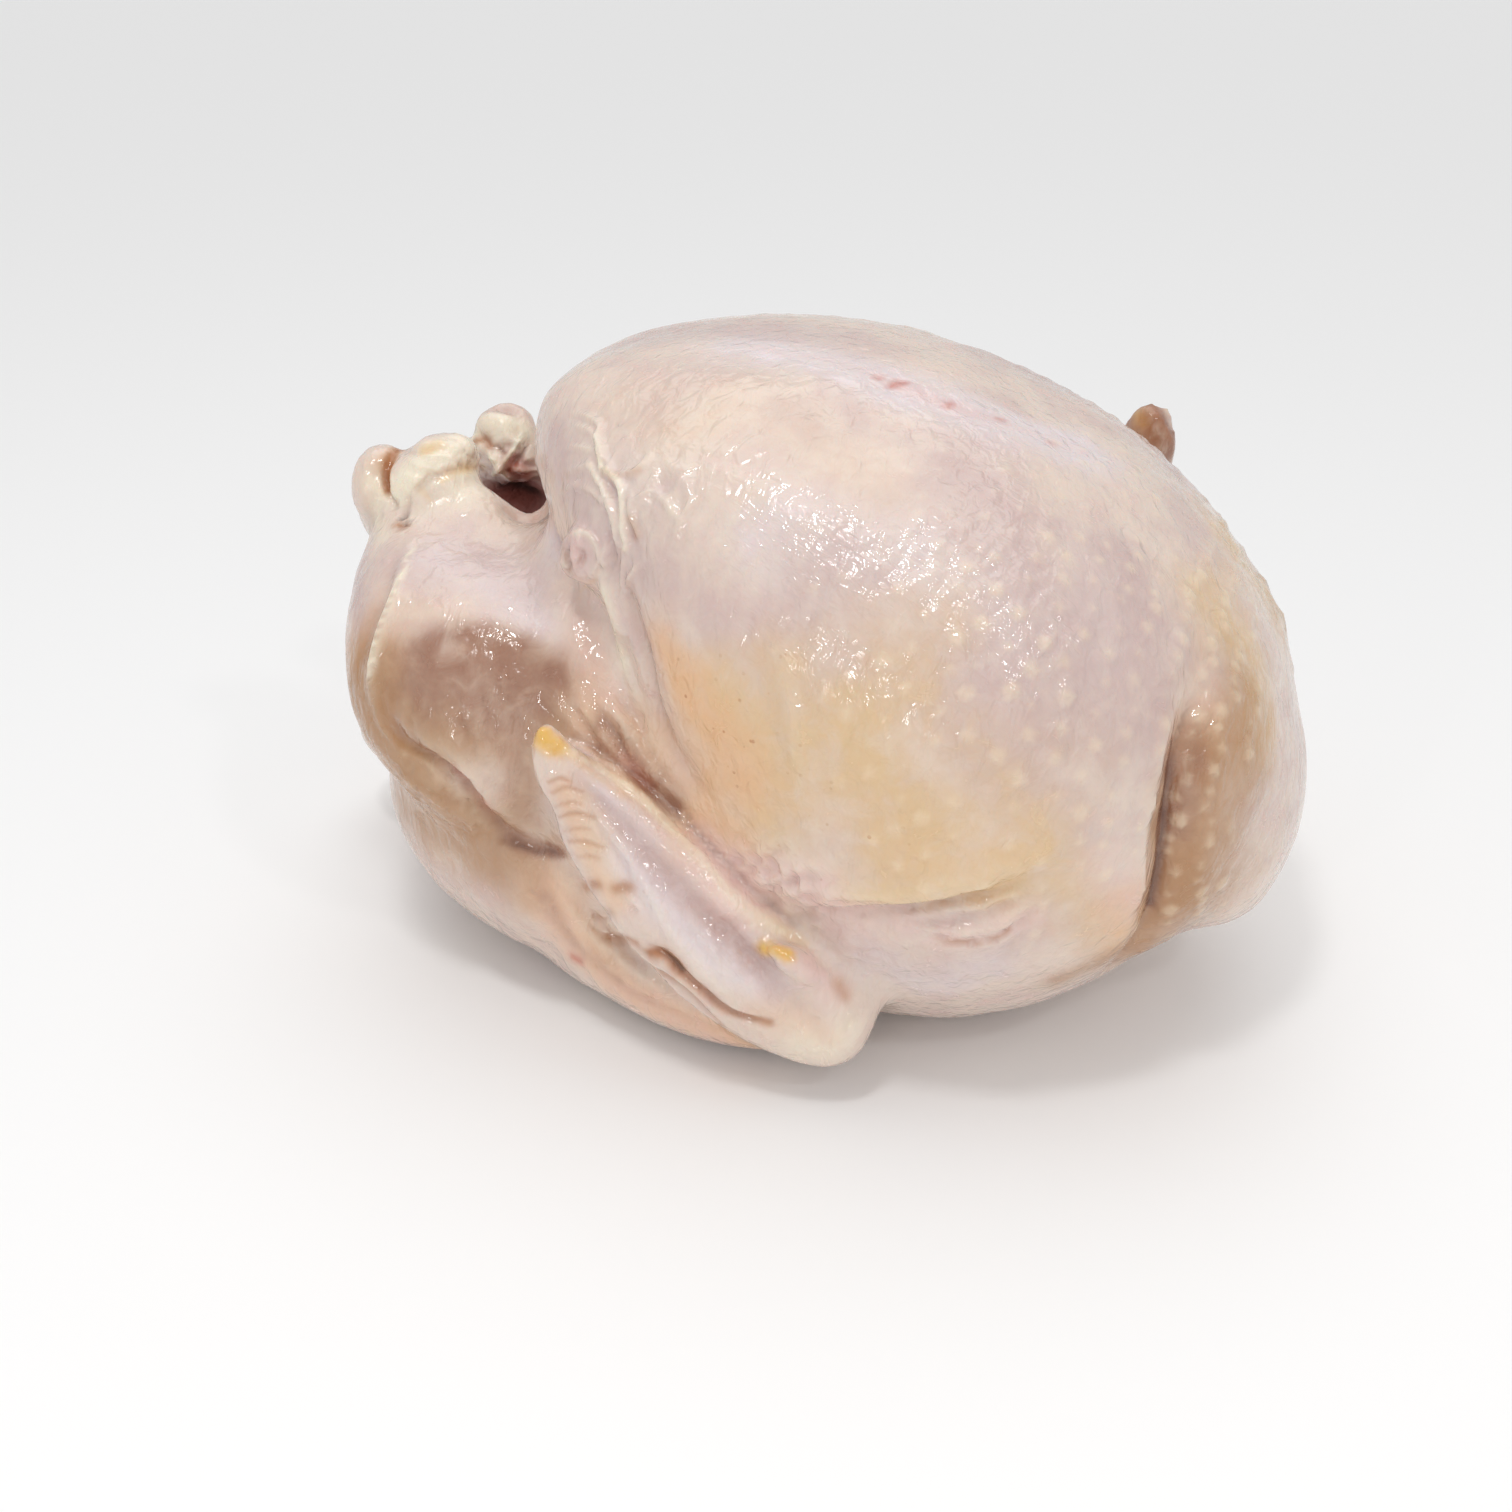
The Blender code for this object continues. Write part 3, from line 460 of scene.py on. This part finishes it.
# Depth of relief that gives the full painted crease shade, and height that gives the full painted ridge
# highlight
DEEPEST, HIGHEST = 2.2 * MM, 1.4 * MM  # relief that counts as a full valley or crest
REST_GAP, REST_FADE = 0.0006, 0.006  # height above the flat spot where relief starts, and on to its full

# Folds of gathered skin: from one to the next, share of their length taken off, how they wander
FOLD_SPACING, FOLD_STRETCH = 0.0034, 0.78
FOLD_WANDER, FOLD_WANDER_SIZE = 0.0015, 0.008
FOLD_SEED, WANDER_SEED = 40, 90

# Follicles: radius, sizes and least strength; rows along the body; rough radius and height of its middle,
# and how far outside the rays start; how far the follicles stray
FOLLICLE_SEED = 7
FOLLICLE_RADIUS, FOLLICLE_SIZES, FOLLICLE_LEAST = 0.0021, (0.55, 1.25), 0.05
FOLLICLE_ROWS, ROW_STEP, MOST_IN_A_ROW = (-0.10, 0.155), 0.87, 90
BODY_RADIUS, BODY_MIDDLE, OUTSIDE = 0.092, 0.09, 0.3
STRAY, STRAY_ROUND = 0.0009, 0.009

# Noises of the finish: scale, detail, roughness, twist
BROAD = (38, 3, 0.55, 0.4)
PATCHY = (110, 4, 0.6, 0.6)
GRAIN = (420, 3, 0.6, 0)
VEINS = (52, 5, 0.62, 1.6)
SWELL = (235, 2, 0.5, 0.6)
CRINKLE = (430, 2, 0.45, 0.3)
PORE_SCALE = 230

# How strongly each layer of the finish shows, from the bottom up
SHOWS = {
    "lilac": 0.7, "pink": 0.35, "follicle": 0.36, "pores": 0.75, "veins": 0.05, "crease_shade": 0.36,
    "ridge_highlight": 0.25, "grain": 0.08,
}

# The ways that the wet skin is drawn out, as right and up in the view, how far, and its depth
SWELL_WAY, SWELL_LENGTH = (0.3, 1.0), 2.0
CRINKLE_WAY, CRINKLE_LENGTH = (0.75, -0.65), 4.5
BUMP_DEPTH = 0.00075

# Lamps: name, place, watts, size in metres; all of them aim at one point
LAMPS = [
    ("key", (-0.04, -0.36, 1.10), 1.95, 0.14),
    ("window", (0.62, -0.46, 0.86), 0.7, 0.08),
    ("glint", (-0.10, -1.05, 0.42), 0.45, 0.06),
    ("fill", (0.45, -0.95, 0.38), 0.95, 0.7),
]
LAMP_AIM = Vector((0, 0, 0.08))
CEILING_STRENGTH, CEILING_ANGLE, CEILING_WAY = 0.75, math.radians(60), Vector((0.10, -0.30, -1))
STUDIO_STRENGTH = 0.60
FLOOR_HALF, FLOOR_HEIGHT = 12, -0.0004


def catmull(rows, t):
    """Smooth values of equal-length rows at t, from 0 at the first row to 1 at the last."""
    rows = np.array(rows, float)
    spans = len(rows) - 1
    padded = np.vstack([2 * rows[0] - rows[1], rows, 2 * rows[-1] - rows[-2]])
    spot = np.clip(t, 0, 1) * spans
    index = np.minimum(spot.astype(int), spans - 1)
    f = (spot - index)[:, None]
    a, b, c, d = (padded[index + k] for k in range(4))
    return 0.5 * (2 * b + (c - a) * f + (2 * a - 5 * b + 4 * c - d) * f**2 + (3 * b - a - 3 * c + d) * f**3)


def add_form(bm, stations, up):
    """A small rounded form along a bent spine, added to the mesh."""
    made = bmesh.ops.create_uvsphere(bm, u_segments=20, v_segments=14, radius=1)["verts"]
    points = np.array([v.co for v in made])
    polar = np.arccos(np.clip(-points[:, 2], -1, 1))
    turn = np.arctan2(points[:, 1], points[:, 0])
    t = (1 - np.cos(polar)) / 2
    here = catmull(stations, t)
    ahead, behind = (catmull(stations, np.clip(t + step, 0, 1))[:, :3] for step in (0.01, -0.01))
    forward = (ahead - behind) / np.linalg.norm(ahead - behind, axis=1)[:, None]
    side = np.cross(np.array(up, float), forward)
    side /= np.linalg.norm(side, axis=1)[:, None]
    top = np.cross(forward, side)
    swell = np.sin(polar) ** 0.5
    across = side * (here[:, 3] * swell * np.cos(turn))[:, None]
    upward = top * (here[:, 4] * swell * np.sin(turn))[:, None]
    for vertex, point in zip(made, here[:, :3] + across + upward):
        vertex.co = point
    bm.normal_update()
    bmesh.ops.recalc_face_normals(bm, faces=list({face for v in made for face in v.link_faces}))


def wobble(points, size, seed):
    """Smooth noise from -1 to 1, with its bumps about size apart."""
    table = np.random.default_rng(seed).uniform(-1, 1, NOISE_VALUES)
    spot = points / size
    cell = np.floor(spot).astype(np.int64)
    f = spot - cell
    f = f * f * (3 - 2 * f)
    total = np.zeros(len(points))
    for corner in itertools.product((0, 1), repeat=3):
        key = np.bitwise_xor.reduce((cell + corner) * NOISE_MIX, axis=1)
        share = np.where(corner, f, 1 - f).prod(1)
        total += share * table[key & (NOISE_VALUES - 1)]
    return total


def sight(px, py):
    """Direction from the eye through a pixel of the view."""
    across, down = ((p - FRAME_PX / 2) / FOCAL_PX for p in (px, py))
    return FORWARD + across * RIGHT_OF_VIEW - down * UP_OF_VIEW


class Skin:
    """The skin's points while it is shaped: lines and spots of the view are cast onto them."""

    def __init__(self, bm):
        bm.normal_update()
        self.tree = BVHTree.FromBMesh(bm)
        self.points = np.array([v.co for v in bm.verts])
        self.drift = sum((share * wobble(self.points, size, seed) for size, seed, share in DRIFTS), 1)
        self.normals = np.array([v.normal for v in bm.verts])
        self.push = np.zeros(len(self.points))

    def cast(self, pixels):
        """Points and normals on the skin under a bent line of pixels, about two pixels apart."""
        if len(pixels) > 1:
            length = sum(math.dist(a, b) for a, b in zip(pixels, pixels[1:]))
            pixels = catmull(pixels, np.linspace(0, 1, max(4, int(length / 2))))
        hits = [self.tree.ray_cast(Vector(EYE), Vector(sight(px, py)).normalized()) for px, py in pixels]
        found = [hit[:2] for hit in hits if hit[0] is not None]
        both = np.array(found).reshape(-1, 2, 3)
        return both[:, 0], both[:, 1]

    def near(self, line, facing, reach, side):
        """The points a line reaches: which, how strongly by distance and facing, and the place along it.

        The reach drifts over the skin, so no mark has an even outline."""
        line, facing = line * (1, side, 1), facing * (1, side, 1)
        low, high = line.min(0) - 3 * reach, line.max(0) + 3 * reach
        which = np.flatnonzero(np.all((self.points > low) & (self.points < high), axis=1))
        if not len(which):
            return which, np.zeros(0), np.zeros(0)
        best = np.full(len(which), np.inf)
        spot = np.zeros(len(which), int)
        for index, point in enumerate(line):
            gap = ((self.points[which] - point) ** 2).sum(1)
            closer = gap < best
            best[closer], spot[closer] = gap[closer], index
        same_way = (self.normals[which] * facing[spot]).sum(1)
        alike = np.clip((same_way - FACING_LEAST) / FACING_SPAN, 0, 1)
        return which, np.exp(-best / (reach * self.drift[which]) ** 2) * alike, spot / max(1, len(line) - 1)

    def line(self, pixels, reach, height, both=False):
        """One relief line, highest or deepest at its middle."""
        line, facing = self.cast(pixels)
        if len(line) < 2:
            return
        for side in (LEFT, RIGHT) if both else (LEFT,):
            which, share, spot = self.near(line, facing, reach * PX, side)
            fade = np.sqrt(np.sin(np.pi * np.clip(spot, LINE_END, 1 - LINE_END)))
            self.push[which] += height * MM * fade * share

    def mark(self, marks):
        """One colour's share at every point, from 0 to 1."""
        left = np.ones(len(self.points))
        for pixels, reach, strength, *both in marks:
            line, facing = self.cast(pixels)
            if not len(line):
                continue
            for side in (LEFT, RIGHT) if both else (LEFT,):
                which, share, _ = self.near(line, facing, reach * PX, side)
                left[which] *= 1 - strength * share
        return 1 - left

    def field(self, middle, radius):
        """A soft round patch about a pixel, and its mirror image."""
        return self.mark([([middle], radius, 1, True)])


def gathered(skin):
    """Fine folds of gathered skin, each field with its own direction."""
    for seed, (middle, radius, height, way) in enumerate(GATHERS):
        patch = skin.field(middle, radius)
        along = way[0] * RIGHT_OF_VIEW - way[1] * UP_OF_VIEW
        along /= np.linalg.norm(along)
        lengthwise = skin.points @ along
        squeezed = skin.points - FOLD_STRETCH * lengthwise[:, None] * along
        wander = FOLD_WANDER * wobble(skin.points, FOLD_WANDER_SIZE, WANDER_SEED + seed)
        folds = 1 - 2 * np.abs(wobble(squeezed + wander[:, None], FOLD_SPACING, FOLD_SEED + seed))
        skin.push += height * MM * patch * folds


def follicles(skin, spacing, height):
    """Feather follicles in staggered rings round the body. Returns each point's share of a follicle."""
    random = np.random.default_rng(FOLLICLE_SEED)
    strength = np.zeros(len(skin.points))
    for middle, radius, share in FOLLICLES:
        strength = np.maximum(strength, share * skin.field(middle, radius))
    rows = np.arange(*FOLLICLE_ROWS, spacing * ROW_STEP)
    most = len(rows) * MOST_IN_A_ROW
    seeds = KDTree(most)
    count = 0
    for ring, x in enumerate(rows):
        for step in np.arange(0, 2 * np.pi, spacing / BODY_RADIUS):
            turn = step + (ring % 2) * spacing / (2 * BODY_RADIUS) + random.normal(0, STRAY_ROUND)
            out = Vector((0, math.cos(turn), math.sin(turn)))
            start = Vector((x + random.normal(0, STRAY), 0, BODY_MIDDLE)) + out * OUTSIDE
            hit = skin.tree.ray_cast(start, -out)[0]
            if hit is not None and count < most:
                seeds.insert(hit, count)
                count += 1
    seeds.balance()
    size = random.uniform(*FOLLICLE_SIZES, count)
    share = np.zeros(len(skin.points))
    for index, point in enumerate(skin.points):
        if strength[index] > FOLLICLE_LEAST:
            _, seed, gap = seeds.find(point)
            radius = FOLLICLE_RADIUS * size[seed] ** 0.5
            share[index] = strength[index] * size[seed] * math.exp(-((gap / radius) ** 2))
    skin.push += height * share
    return share


def refine(bm):
    """Smaller faces where the relief is fine, and again where it is finest."""
    for fields in (FINE_FIELDS, FINEST_FIELDS):
        share = Skin(bm).mark(fields)
        bm.verts.index_update()
        chosen = [edge for edge in bm.edges if min(share[v.index] for v in edge.verts) > REFINED]
        bmesh.ops.subdivide_edges(bm, edges=chosen, cuts=1, use_grid_fill=True, smooth=REFINED_BULGE)


def bake(thing):
    """The object's modifiers, worked into its mesh."""
    graph = bpy.context.evaluated_depsgraph_get()
    mesh = bpy.data.meshes.new_from_object(thing.evaluated_get(graph))
    thing.modifiers.clear()
    thing.data = mesh


def add_mesh(name, bm):
    """A new object in the scene from a finished bmesh."""
    mesh = bpy.data.meshes.new(name)
    bm.to_mesh(mesh)
    bm.free()
    thing = bpy.data.objects.new(name, mesh)
    bpy.context.scene.collection.objects.link(thing)
    return thing


def rounded_solid():
    """The solid's own skin with its flat faces rounded off."""
    bm = bmesh.new()
    bm.from_mesh(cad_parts["turkey"].data)
    bmesh.ops.remove_doubles(bm, verts=bm.verts, dist=1e-6)
    thing = add_mesh("turkey_skin", bm)
    rounding = thing.modifiers.new("rounding", "SUBSURF")
    rounding.levels = rounding.render_levels = 1
    bake(thing)
    return thing


def fuse_forms(thing, grain):
    """The small forms grow into the skin, and their seams are smoothed."""
    bm = bmesh.new()
    bm.from_mesh(thing.data)
    for stations, up in FORMS:
        add_form(bm, stations, up)
    bm.to_mesh(thing.data)
    bm.free()
    remesh = thing.modifiers.new("one_skin", "REMESH")
    remesh.mode = "VOXEL"
    remesh.voxel_size = grain
    soften = thing.modifiers.new("soften", "SMOOTH")
    soften.factor = 0.5
    soften.iterations = 5
    bake(thing)


def shape_skin(thing, settings):
    """Relief and colour marks, written into the mesh."""
    bm = bmesh.new()
    bm.from_mesh(thing.data)
    refine(bm)
    skin = Skin(bm)
    for row in RELIEF:
        skin.line(*row)
    gathered(skin)
    shares = {name: skin.mark(marks) for name, marks in MARKS.items()}
    shares["pores"] = skin.mark([([middle], radius, PORE_STRENGTH, True) for middle, radius in PORES])
    # Inward-looking faces inside the hollow: the inner wall's own red, darkened as painted shade
    middle, half = (np.array(part) for part in HOLLOW)
    depth = np.sqrt((((skin.points - middle) / half) ** 2).sum(1))
    toward = (middle - skin.points) / half**2
    inward = (toward * skin.normals).sum(1) / np.linalg.norm(toward, axis=1)
    inside = np.clip((HOLLOW_END - depth) * HOLLOW_FADE, 0, 1)
    shares["hollow"] = inside * np.clip(inward / HOLLOW_FACING, 0, 1)
    # Painted shade in the creases, by the depth of the relief
    shares["crease_shade"] = np.clip(-skin.push / DEEPEST, 0, 1)
    # Painted highlight on the ridges, by the height of the relief
    shares["ridge_highlight"] = np.clip(skin.push / HIGHEST, 0, 1)
    plain = 1 - np.clip(shares["hollow"] + shares["cream_and_highlight"], 0, 1)
    soft = sum(wobble(skin.points, size, seed) * height for size, seed, height in SWELLS)
    skin.push += soft * MM * plain
    shares["follicle"] = follicles(skin, settings.follicle_spacing, settings.follicle_height) * plain
    resting = np.clip((skin.points[:, 2] - REST_GAP) / REST_FADE, 0, 1)
    placed = skin.points + skin.normals * (skin.push * resting)[:, None]
    placed[:, 2] = np.maximum(placed[:, 2], 0)
    for vertex, point in zip(bm.verts, placed):
        vertex.co = point
    bm.to_mesh(thing.data)
    bm.free()
    for name, share in shares.items():
        written = thing.data.attributes.new(name, "FLOAT", "POINT")
        written.data.foreach_set("value", share.astype(np.float32))
    thing.data.shade_smooth()


# --- Finishes ---


class Wire:
    """A shader socket that takes part in sums; an expression on it adds its Math nodes."""

    def __init__(self, shop, socket):
        self.shop, self.socket = shop, socket

    def maths(self, operation, *values):
        """The socket of a new Math node."""
        return self.shop.node("Math", {"operation": operation}, dict(enumerate(values)))

    def __add__(self, other):
        return self.maths("ADD", self, other)

    def __radd__(self, other):
        return self.maths("ADD", other, self)

    def __sub__(self, other):
        return self.maths("SUBTRACT", self, other)

    def __rsub__(self, other):
        return self.maths("SUBTRACT", other, self)

    def __mul__(self, other):
        return self.maths("MULTIPLY", self, other)

    def __rmul__(self, other):
        return self.maths("MULTIPLY", other, self)

    def absolute(self):
        return self.maths("ABSOLUTE", self)

    def within(self, low, high):
        """0 below low, 1 above high, smooth between."""
        ends = {"Value": self, "From Min": low, "From Max": high}
        return self.shop.node("MapRange", {"interpolation_type": "SMOOTHSTEP"}, ends)


class Workshop:
    """Adds nodes to one material."""

    def __init__(self, material):
        material.use_nodes = True
        self.tree = material.node_tree
        self.tree.nodes.clear()

    def node(self, kind, settings=None, inputs=None, output=0):
        """A node of one type, its settings, what its sockets take, and the output that is used."""
        made = self.tree.nodes.new("ShaderNode" + kind)
        for name, value in (settings or {}).items():
            setattr(made, name, value)
        for name, value in (inputs or {}).items():
            if isinstance(value, Wire):
                self.tree.links.new(value.socket, made.inputs[name])
            else:
                made.inputs[name].default_value = value
        return Wire(self, made.outputs[output]) if made.outputs else None

    def share(self, name):
        """One of the skin's written shares."""
        return self.node("Attribute", {"attribute_name": name}, output=2)

    def blend(self, share, first, second, how="MIX"):
        """Two colours, mixed by a share of the second."""
        first, second = (value if isinstance(value, Wire) else (*value, 1) for value in (first, second))
        return self.node("Mix", {"data_type": "RGBA", "blend_type": how}, {0: share, 6: first, 7: second}, 2)


def speckle(shop, where, noise):
    """Noise of 0 to 1 over the skin."""
    given = dict(zip(("Scale", "Detail", "Roughness", "Distortion"), noise))
    return shop.node("TexNoise", None, {"Vector": where, **given})


def stretched(shop, where, way, length):
    """The place on the skin, drawn out along a direction given as right and up in the view."""
    axis = Vector(way[0] * RIGHT_OF_VIEW + way[1] * UP_OF_VIEW)
    turn = Vector((0, 0, 1)).rotation_difference(axis).to_euler()
    given = {"Vector": where, "Rotation": turn, "Scale": (1, 1, length)}
    return shop.node("Mapping", {"vector_type": "TEXTURE"}, given)


def skin_finish(settings):
    """Raw plucked skin: thin, wet and see-through over fat and muscle."""
    material = bpy.data.materials.new("raw_skin")
    shop = Workshop(material)
    where = shop.node("TexCoord", output=3)
    broad, patchy, grain, veins = (speckle(shop, where, noise) for noise in (BROAD, PATCHY, GRAIN, VEINS))

    mottled = SHOWS["lilac"] * (broad + 0.5 * patchy - 0.25).within(0.38, 0.76)
    colour = shop.blend(mottled, settings.pale, settings.lilac)
    colour = shop.blend(SHOWS["pink"] * patchy.within(0.45, 0.75), colour, settings.pink)
    uneven = 0.3 + 1.4 * patchy
    even = 0.85 + 0.35 * patchy
    for name in ("milky_sheen", "lilac", "fat", "peach", "pink", "tan", "brown_and_shade", "cream_and_highlight", "yellow"):
        strength = (shop.share(name) * (even if name in ("tan", "peach") else uneven)).within(0.05, 1.05)
        colour = shop.blend(strength, colour, getattr(settings, name))
    raised = SHOWS["follicle"] * shop.share("follicle").within(0.08, 0.85)
    colour = shop.blend(raised, colour, settings.follicle)
    dotted = {"Vector": where, "Scale": PORE_SCALE, "Randomness": 1}
    spots = shop.node("TexVoronoi", {"feature": "F1"}, dotted)
    pores = (0.17 - spots).within(0, 0.09) * shop.share("pores") * patchy.within(0.42, 0.6)
    colour = shop.blend(pores * SHOWS["pores"], colour, settings.amber)
    line = 1 - (veins - 0.5).absolute().within(0, 0.018)
    colour = shop.blend(line * SHOWS["veins"], colour, settings.brown_and_shade)
    colour = shop.blend(shop.share("amber"), colour, settings.amber)
    colour = shop.blend(shop.share("red"), colour, settings.red)
    # Painted shade: creases darkened by multiplying with the shade colour
    colour = shop.blend(shop.share("crease_shade") * SHOWS["crease_shade"], colour, settings.crease_shade, "MULTIPLY")
    # Painted highlight: raised ridges lightened towards cream
    colour = shop.blend(shop.share("ridge_highlight") * SHOWS["ridge_highlight"], colour, settings.cream_and_highlight)
    # Random grain, darkened with the same colour as the painted crease shade
    colour = shop.blend(SHOWS["grain"] * grain, colour, settings.crease_shade, "MULTIPLY")
    # The hollow's inner wall: its own red, darkened as painted shade
    colour = shop.blend(shop.share("hollow"), colour, settings.inside)
    # Painted shade: deep gaps and crevices turned near-black
    colour = shop.blend(shop.share("gap_shade"), colour, settings.gap_shade)

    swell = speckle(shop, stretched(shop, where, SWELL_WAY, SWELL_LENGTH), SWELL)
    crinkle = speckle(shop, stretched(shop, where, CRINKLE_WAY, CRINKLE_LENGTH), CRINKLE)
    ripple = 1 - 2 * (crinkle - 0.5).absolute()
    height = 1.2 * swell + ripple * (0.03 + 0.46 * shop.share("crinkle")) + 0.04 * grain
    bump = shop.node("Bump", None, {"Height": height, "Strength": 1, "Distance": BUMP_DEPTH})
    # The painted shade of gaps and of the hollow is also made dull
    dull = shop.share("gap_shade") + shop.share("hollow")
    wet = 0.11 + 0.20 * patchy.within(0.46, 0.72) - 0.05 * shop.share("crinkle")
    rough = wet + 0.14 * shop.share("cream_and_highlight") + 0.5 * dull
    coat = 0.15 * (1 - patchy).within(0.35, 0.62)
    surface = shop.node("BsdfPrincipled", {"subsurface_method": "RANDOM_WALK"}, {
        "Base Color": colour, "Roughness": rough, "IOR": 1.6, "Normal": bump,
        "Subsurface Weight": 0.22, "Subsurface Radius": (1.0, 0.42, 0.26), "Subsurface Scale": 0.006,
        "Coat Weight": coat, "Coat Roughness": 0.2, "Coat IOR": 1.38,
    })
    shop.node("OutputMaterial", None, {"Surface": surface})
    return material


def stage_finish(settings):
    """Plain dull floor."""
    material = bpy.data.materials.new("stage_floor")
    shop = Workshop(material)
    surface = shop.node("BsdfPrincipled", None, {"Base Color": (*settings.floor, 1), "Roughness": 0.7})
    shop.node("OutputMaterial", None, {"Surface": surface})
    return material


# --- Stage ---


def soft_light(name, place, power, size):
    """A square lamp that looks at the bird."""
    lamp = bpy.data.lights.new(name, "AREA")
    lamp.energy, lamp.size = power, size
    thing = bpy.data.objects.new(name, lamp)
    bpy.context.scene.collection.objects.link(thing)
    thing.location = place
    thing.rotation_mode = "QUATERNION"
    thing.rotation_quaternion = (LAMP_AIM - Vector(place)).to_track_quat("-Z", "Y")


def set_camera():
    """The camera of the view."""
    lens = bpy.data.cameras.new("view")
    lens.sensor_width = SENSOR_MM
    lens.lens = FOCAL_PX * SENSOR_MM / FRAME_PX
    lens.clip_start = 0.01
    camera = bpy.data.objects.new("view", lens)
    bpy.context.scene.collection.objects.link(camera)
    camera.location = EYE
    camera.rotation_mode = "QUATERNION"
    camera.rotation_quaternion = Vector(FORWARD).to_track_quat("-Z", "Y")
    bpy.context.scene.camera = camera


def tinted(name, default, what):
    """A colour that the panel shows."""
    return bpy.props.FloatVectorProperty(
        name=name, description=what, subtype="COLOR", size=3, min=0, max=1, default=default
    )


def length(name, default, what, **limits):
    """A length that the panel shows."""
    return bpy.props.FloatProperty(name=name, description=what, default=default, unit="LENGTH", **limits)


class TurkeySettings(bpy.types.PropertyGroup):
    """Sizes and colours that a user would change."""

    skin_grain: length("Skin grain", 0.0023, "Size of the skin's faces", min=0.001, max=0.01)
    follicle_spacing: length("Follicle spacing", 0.0085, "From one feather follicle to the next")
    follicle_height: length("Follicle height", 0.00085, "How far a follicle stands out")
    pale: tinted("Pale skin", (0.77, 0.635, 0.545), "Skin over white fat")
    # Pale bluish skin, also used as a painted sheen where wet highlights fall
    milky_sheen: tinted("Milky skin", (0.79, 0.70, 0.71), "Skin over the wet breast and leg")
    lilac: tinted("Lilac skin", (0.61, 0.46, 0.43), "Skin over muscle")
    pink: tinted("Pink skin", (0.80, 0.59, 0.54), "Skin with blood near it")
    fat: tinted("Fat", (0.73, 0.52, 0.30), "Skin over yellow fat")
    peach: tinted("Peach skin", (0.79, 0.48, 0.26), "Skin over orange fat")
    tan: tinted("Tan skin", (0.43, 0.225, 0.100), "Thick skin of the rump and neck")
    # Also the colour of painted shade in creases and crevices
    brown_and_shade: tinted("Brown skin", (0.34, 0.17, 0.11), "Bruised or dried skin")
    # Also the colour of the painted highlights on ridges and edges
    cream_and_highlight: tinted("Gristle", (0.90, 0.82, 0.66), "Gristle and sinew")
    yellow: tinted("Yellow tip", (0.78, 0.47, 0.11), "Wing tips and firm fat")
    follicle: tinted("Follicle", (0.90, 0.76, 0.56), "Top of a feather follicle")
    amber: tinted("Amber mark", (0.45, 0.17, 0.05), "Quill marks and dried edges")
    red: tinted("Red mark", (0.55, 0.13, 0.08), "Spots of blood")
    # Colour of the painted shade in creases; it also darkens the grain
    crease_shade: tinted("Valley", (0.62, 0.40, 0.34), "Shade of the skin in a crease")
    # The inner wall's red, darkened as painted shade
    inside: tinted("Inside", (0.26, 0.07, 0.05), "Wall of the body's hollow")
    # Colour of the painted shade in deep gaps
    gap_shade: tinted("Dark gap", (0.030, 0.006, 0.003), "Deep gaps")
    floor: tinted("Floor", (0.93, 0.93, 0.93), "Plain floor")


class TURKEY_OT_skin(bpy.types.Operator):
    """Lay the wet skin over the solid"""

    bl_idname = "turkey.skin"
    bl_label = "Turkey skin"

    def execute(self, context):
        settings = context.scene.raw_turkey
        thing = rounded_solid()
        fuse_forms(thing, settings.skin_grain)
        shape_skin(thing, settings)
        thing.data.materials.clear()
        thing.data.materials.append(skin_finish(settings))
        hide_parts("turkey")
        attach(thing, "root")
        return {"FINISHED"}


class TURKEY_OT_stage(bpy.types.Operator):
    """Add the floor, the lights and the camera"""

    bl_idname = "turkey.stage"
    bl_label = "Stage"

    def execute(self, context):
        settings = context.scene.raw_turkey
        bm = bmesh.new()
        bmesh.ops.create_grid(bm, x_segments=1, y_segments=1, size=FLOOR_HALF)
        bmesh.ops.translate(bm, verts=bm.verts, vec=(0, 0, FLOOR_HEIGHT))
        floor = add_mesh("floor", bm)
        floor.data.materials.append(stage_finish(settings))
        for lamp in LAMPS:
            soft_light(*lamp)
        sun = bpy.data.lights.new("ceiling", "SUN")
        sun.energy, sun.angle = CEILING_STRENGTH, CEILING_ANGLE
        ceiling = bpy.data.objects.new("ceiling", sun)
        context.scene.collection.objects.link(ceiling)
        ceiling.rotation_mode = "QUATERNION"
        ceiling.rotation_quaternion = CEILING_WAY.to_track_quat("-Z", "Y")
        world = bpy.data.worlds.new("studio")
        context.scene.world = world
        world.use_nodes = True
        backdrop = world.node_tree.nodes["Background"].inputs
        backdrop["Color"].default_value = (1, 1, 1, 1)
        backdrop["Strength"].default_value = STUDIO_STRENGTH
        context.scene.view_settings.view_transform = "Standard"
        set_camera()
        return {"FINISHED"}


class TURKEY_PT_panel(bpy.types.Panel):
    """Sizes, colours and steps"""

    bl_idname = "TURKEY_PT_panel"
    bl_label = "Whole raw turkey"
    bl_space_type = "VIEW_3D"
    bl_region_type = "UI"
    bl_category = "Turkey"

    def draw(self, context):
        settings = context.scene.raw_turkey
        for name in TurkeySettings.__annotations__:
            self.layout.prop(settings, name)
        for step in (TURKEY_OT_skin, TURKEY_OT_stage):
            self.layout.operator(step.bl_idname)


CLASSES = (TurkeySettings, TURKEY_OT_skin, TURKEY_OT_stage, TURKEY_PT_panel)


def register():
    for kind in CLASSES:
        bpy.utils.register_class(kind)
    bpy.types.Scene.raw_turkey = bpy.props.PointerProperty(type=TurkeySettings)


def unregister():
    del bpy.types.Scene.raw_turkey
    for kind in reversed(CLASSES):
        bpy.utils.unregister_class(kind)


def main():
    register()
    bpy.ops.turkey.skin()
    bpy.ops.turkey.stage()


if __name__ == "__main__":
    main()
